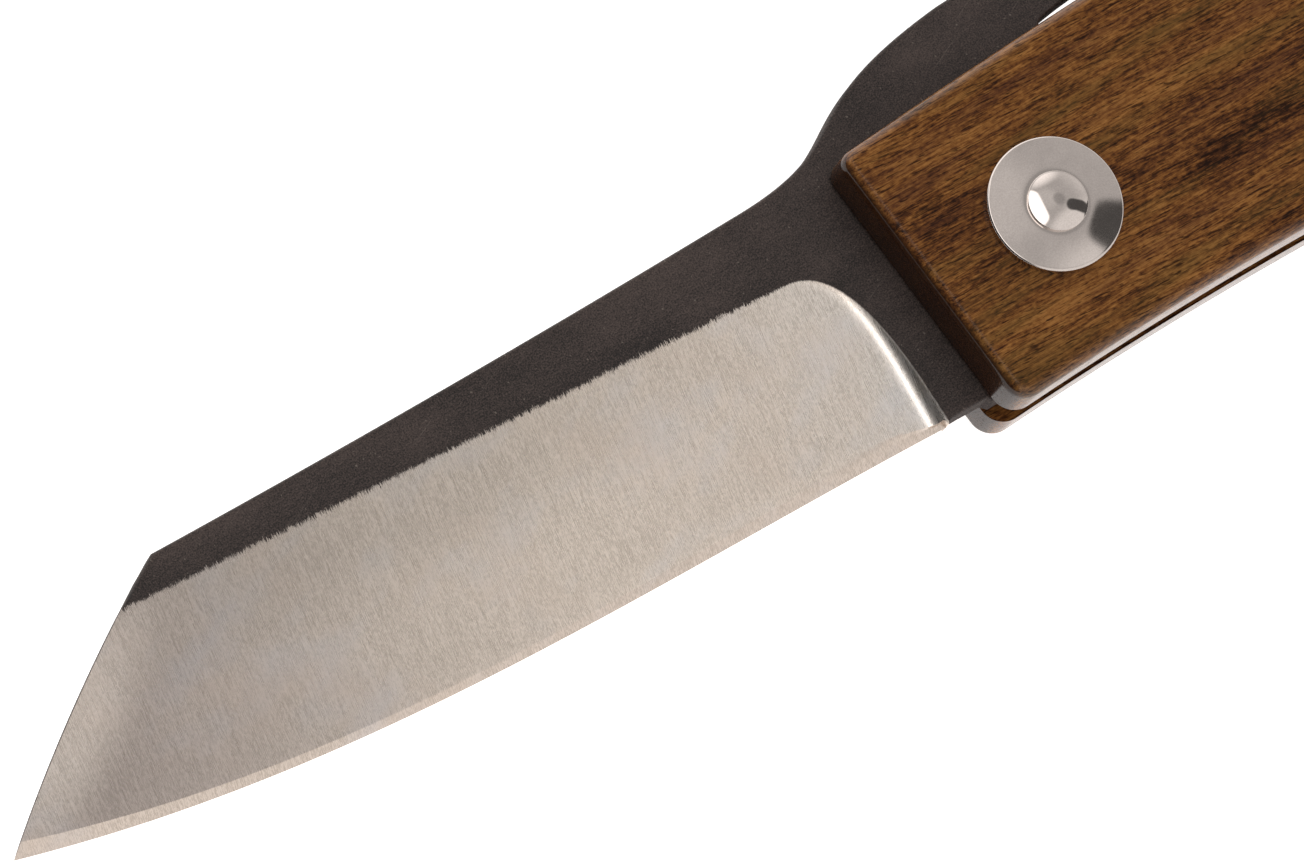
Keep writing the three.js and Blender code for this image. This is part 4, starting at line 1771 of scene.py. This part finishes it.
@dataclass(frozen=True)
class Patch:
    """A soft round patch of the studio's surroundings, such as a window or a black flag."""

    direction: Triple
    reach: float
    feather: float
    level: float
    end: Optional[Triple] = None

    def share(self, bench: Bench, direction: Socket) -> Value:
        """Gives how much of what lies in a direction is this patch, which may be drawn out to an end.

        Args:
            bench: The world's bench.
            direction: The direction's socket.

        Returns:
            The share.
        """
        start = Vector(self.direction).normalized()
        nearest: object = start
        if self.end is not None:
            along = Vector(self.end).normalized() - start
            scaled = along / along.length_squared
            passed = bench.dot(direction, scaled) - start.dot(scaled)
            passed = passed.at_least(0.0).at_most(1.0)
            point = bench.vectors("MULTIPLY_ADD", along, passed, start).outputs[0]
            nearest = bench.vectors("NORMALIZE", point).outputs[0]
        far, near = (math.cos(math.radians(self.reach + way * self.feather)) for way in (1, -1))
        return bench.dot(direction, nearest).eased(far, near)


@dataclass
class Studio:
    """White floor and soft white surroundings."""

    overhead: float = 0.6
    horizon: float = 1.1
    horizon_heights: Pair = (0.78, 0.1)
    backdrop: float = 1.1
    tint: Triple = (1.0, 0.965, 0.94)
    floor_radius: float = 8.0
    floor_sides: int = 96
    floor_glow: float = 0.85
    floor_colour: Triple = (0.8, 0.8, 0.8)
    patches: tuple[Patch, ...] = (
        Patch((-1.0, 0.0, 0.05), 56.0, 8.0, 0.06),
        Patch((0.3, -0.9, 0.3), 57.0, 8.0, 1.0),
        Patch((0.2, 0.95, 0.25), 35.0, 8.0, 1.6),
        Patch((0.1, 0.3, 0.95), 12.0, 8.0, 0.74),
        Patch((0.38, 0.12, 0.92), 7.0, 3.0, 0.44),
        Patch((-0.22, -0.06, 0.97), 8.0, 2.0, 2.4, (-0.12, 0.5, 0.86)),
        Patch((0.55, -0.12, 0.83), 7.4, 1.5, 0.1),
        Patch((0.6, -0.14, 0.79), 7.5, 1.3, 0.1, (0.72, -0.23, 0.65)),
    )

    def build(self) -> None:
        """Builds the floor and the surroundings."""
        self._floor()
        self._surroundings()

    def _floor(self) -> None:
        """Lays the floor, which glows a little so that it stays white and is clear from below."""
        material = bpy.data.materials.new("white_floor")
        material.use_nodes = True
        bench = Bench(material.node_tree)
        paint = bench.add("ShaderNodeBsdfDiffuse", inputs={"Color": self.floor_colour})
        glow = bench.add("ShaderNodeEmission", inputs={"Strength": self.floor_glow, "Color": WHITE})
        lit = bench.add("ShaderNodeAddShader", inputs={0: paint.outputs[0], 1: glow.outputs[0]})
        clear = bench.add("ShaderNodeBsdfTransparent", inputs={"Color": WHITE})
        below = bench.add("ShaderNodeNewGeometry").outputs["Backfacing"]
        mix = bench.add("ShaderNodeMixShader", inputs={0: below, 1: lit.outputs[0], 2: clear.outputs[0]})
        bench.add("ShaderNodeOutputMaterial", inputs={"Surface": mix.outputs[0]})
        mesh = bmesh.new()
        bmesh.ops.create_circle(mesh, cap_ends=True, segments=self.floor_sides, radius=self.floor_radius)
        make_object("floor", mesh, material)

    def _surroundings(self) -> None:
        """Sets the world: bright all round the horizon, dimmer overhead, with soft patches."""
        world = bpy.data.worlds.new("studio")
        world.use_nodes = True
        bpy.context.scene.world = world
        bench = Bench(world.node_tree)
        direction = bench.add("ShaderNodeTexCoord").outputs["Generated"]
        low = bench.part(direction, "Z").eased(*self.horizon_heights)
        light = low * (self.horizon - self.overhead) + self.overhead
        for patch in self.patches:
            share = patch.share(bench, direction)
            light = light * (1.0 - share) + share * patch.level
        seen = Value(bench, bench.add("ShaderNodeLightPath").outputs["Is Camera Ray"])
        strength = light * (1.0 - seen) + seen * self.backdrop
        background = bench.add("ShaderNodeBackground", inputs={"Color": self.tint, "Strength": strength})
        bench.add("ShaderNodeOutputWorld", inputs={"Surface": background.outputs[0]})


@dataclass
class PhotoCamera:
    """The camera of the photograph: far off with a long lens, and turned about its own axis."""

    photo_width: float = 1304.0
    photo_height: float = 868.0
    sensor: float = 36.0
    focal_pixels: float = 9256.0
    azimuth: float = -70.5
    elevation: float = 69.2
    roll: float = 38.62
    distance: float = 0.650
    clip_factor: float = 100.0
    washer_pixel: Pair = (1054.5, 204.7)
    washer_height: float = 5.65 * MM

    def build(self) -> bpy.types.Object:
        """Places the camera so that the washer's middle falls on its pixel in the photograph.

        Returns:
            The camera.
        """
        turn, lift, roll = (math.radians(a) for a in (self.azimuth, self.elevation, self.roll))
        level = flat(math.cos(turn), math.sin(turn))
        back = flat(math.sin(turn) * math.cos(lift), -math.cos(turn) * math.cos(lift), math.sin(lift))
        right = level * math.cos(roll) + back.cross(level) * math.sin(roll)
        up = back.cross(right)
        pixel = self.distance / self.focal_pixels
        across = (self.washer_pixel[0] - self.photo_width / 2) * pixel
        above = (self.photo_height / 2 - self.washer_pixel[1]) * pixel
        place = PIVOT + ZUP * self.washer_height + back * self.distance - right * across - up * above
        data = bpy.data.cameras.new("photo_camera")
        data.sensor_width = self.sensor
        data.lens = self.focal_pixels / self.photo_width * self.sensor
        data.clip_start = self.distance / self.clip_factor
        data.clip_end = self.distance * self.clip_factor
        camera = bpy.data.objects.new("photo_camera", data)
        bpy.context.scene.collection.objects.link(camera)
        camera.matrix_world = Matrix.Translation(place) @ Matrix((right, up, back)).transposed().to_4x4()
        bpy.context.scene.camera = camera
        return camera


def main() -> None:
    """Builds the camera, the studio and the knife, and reports each piece."""
    logging.basicConfig(level=logging.INFO, format="%(name)s: %(message)s")
    PhotoCamera().build()
    Studio().build()
    bpy.context.scene.view_settings.view_transform = "Standard"
    form = HandleForm()
    pieces = []
    for assembly in (Handle(form), Pivot(form), Blade(form)):
        pieces += assembly.build()
    log.info("%d pieces made", len(pieces))


if __name__ == "__main__":
    main()
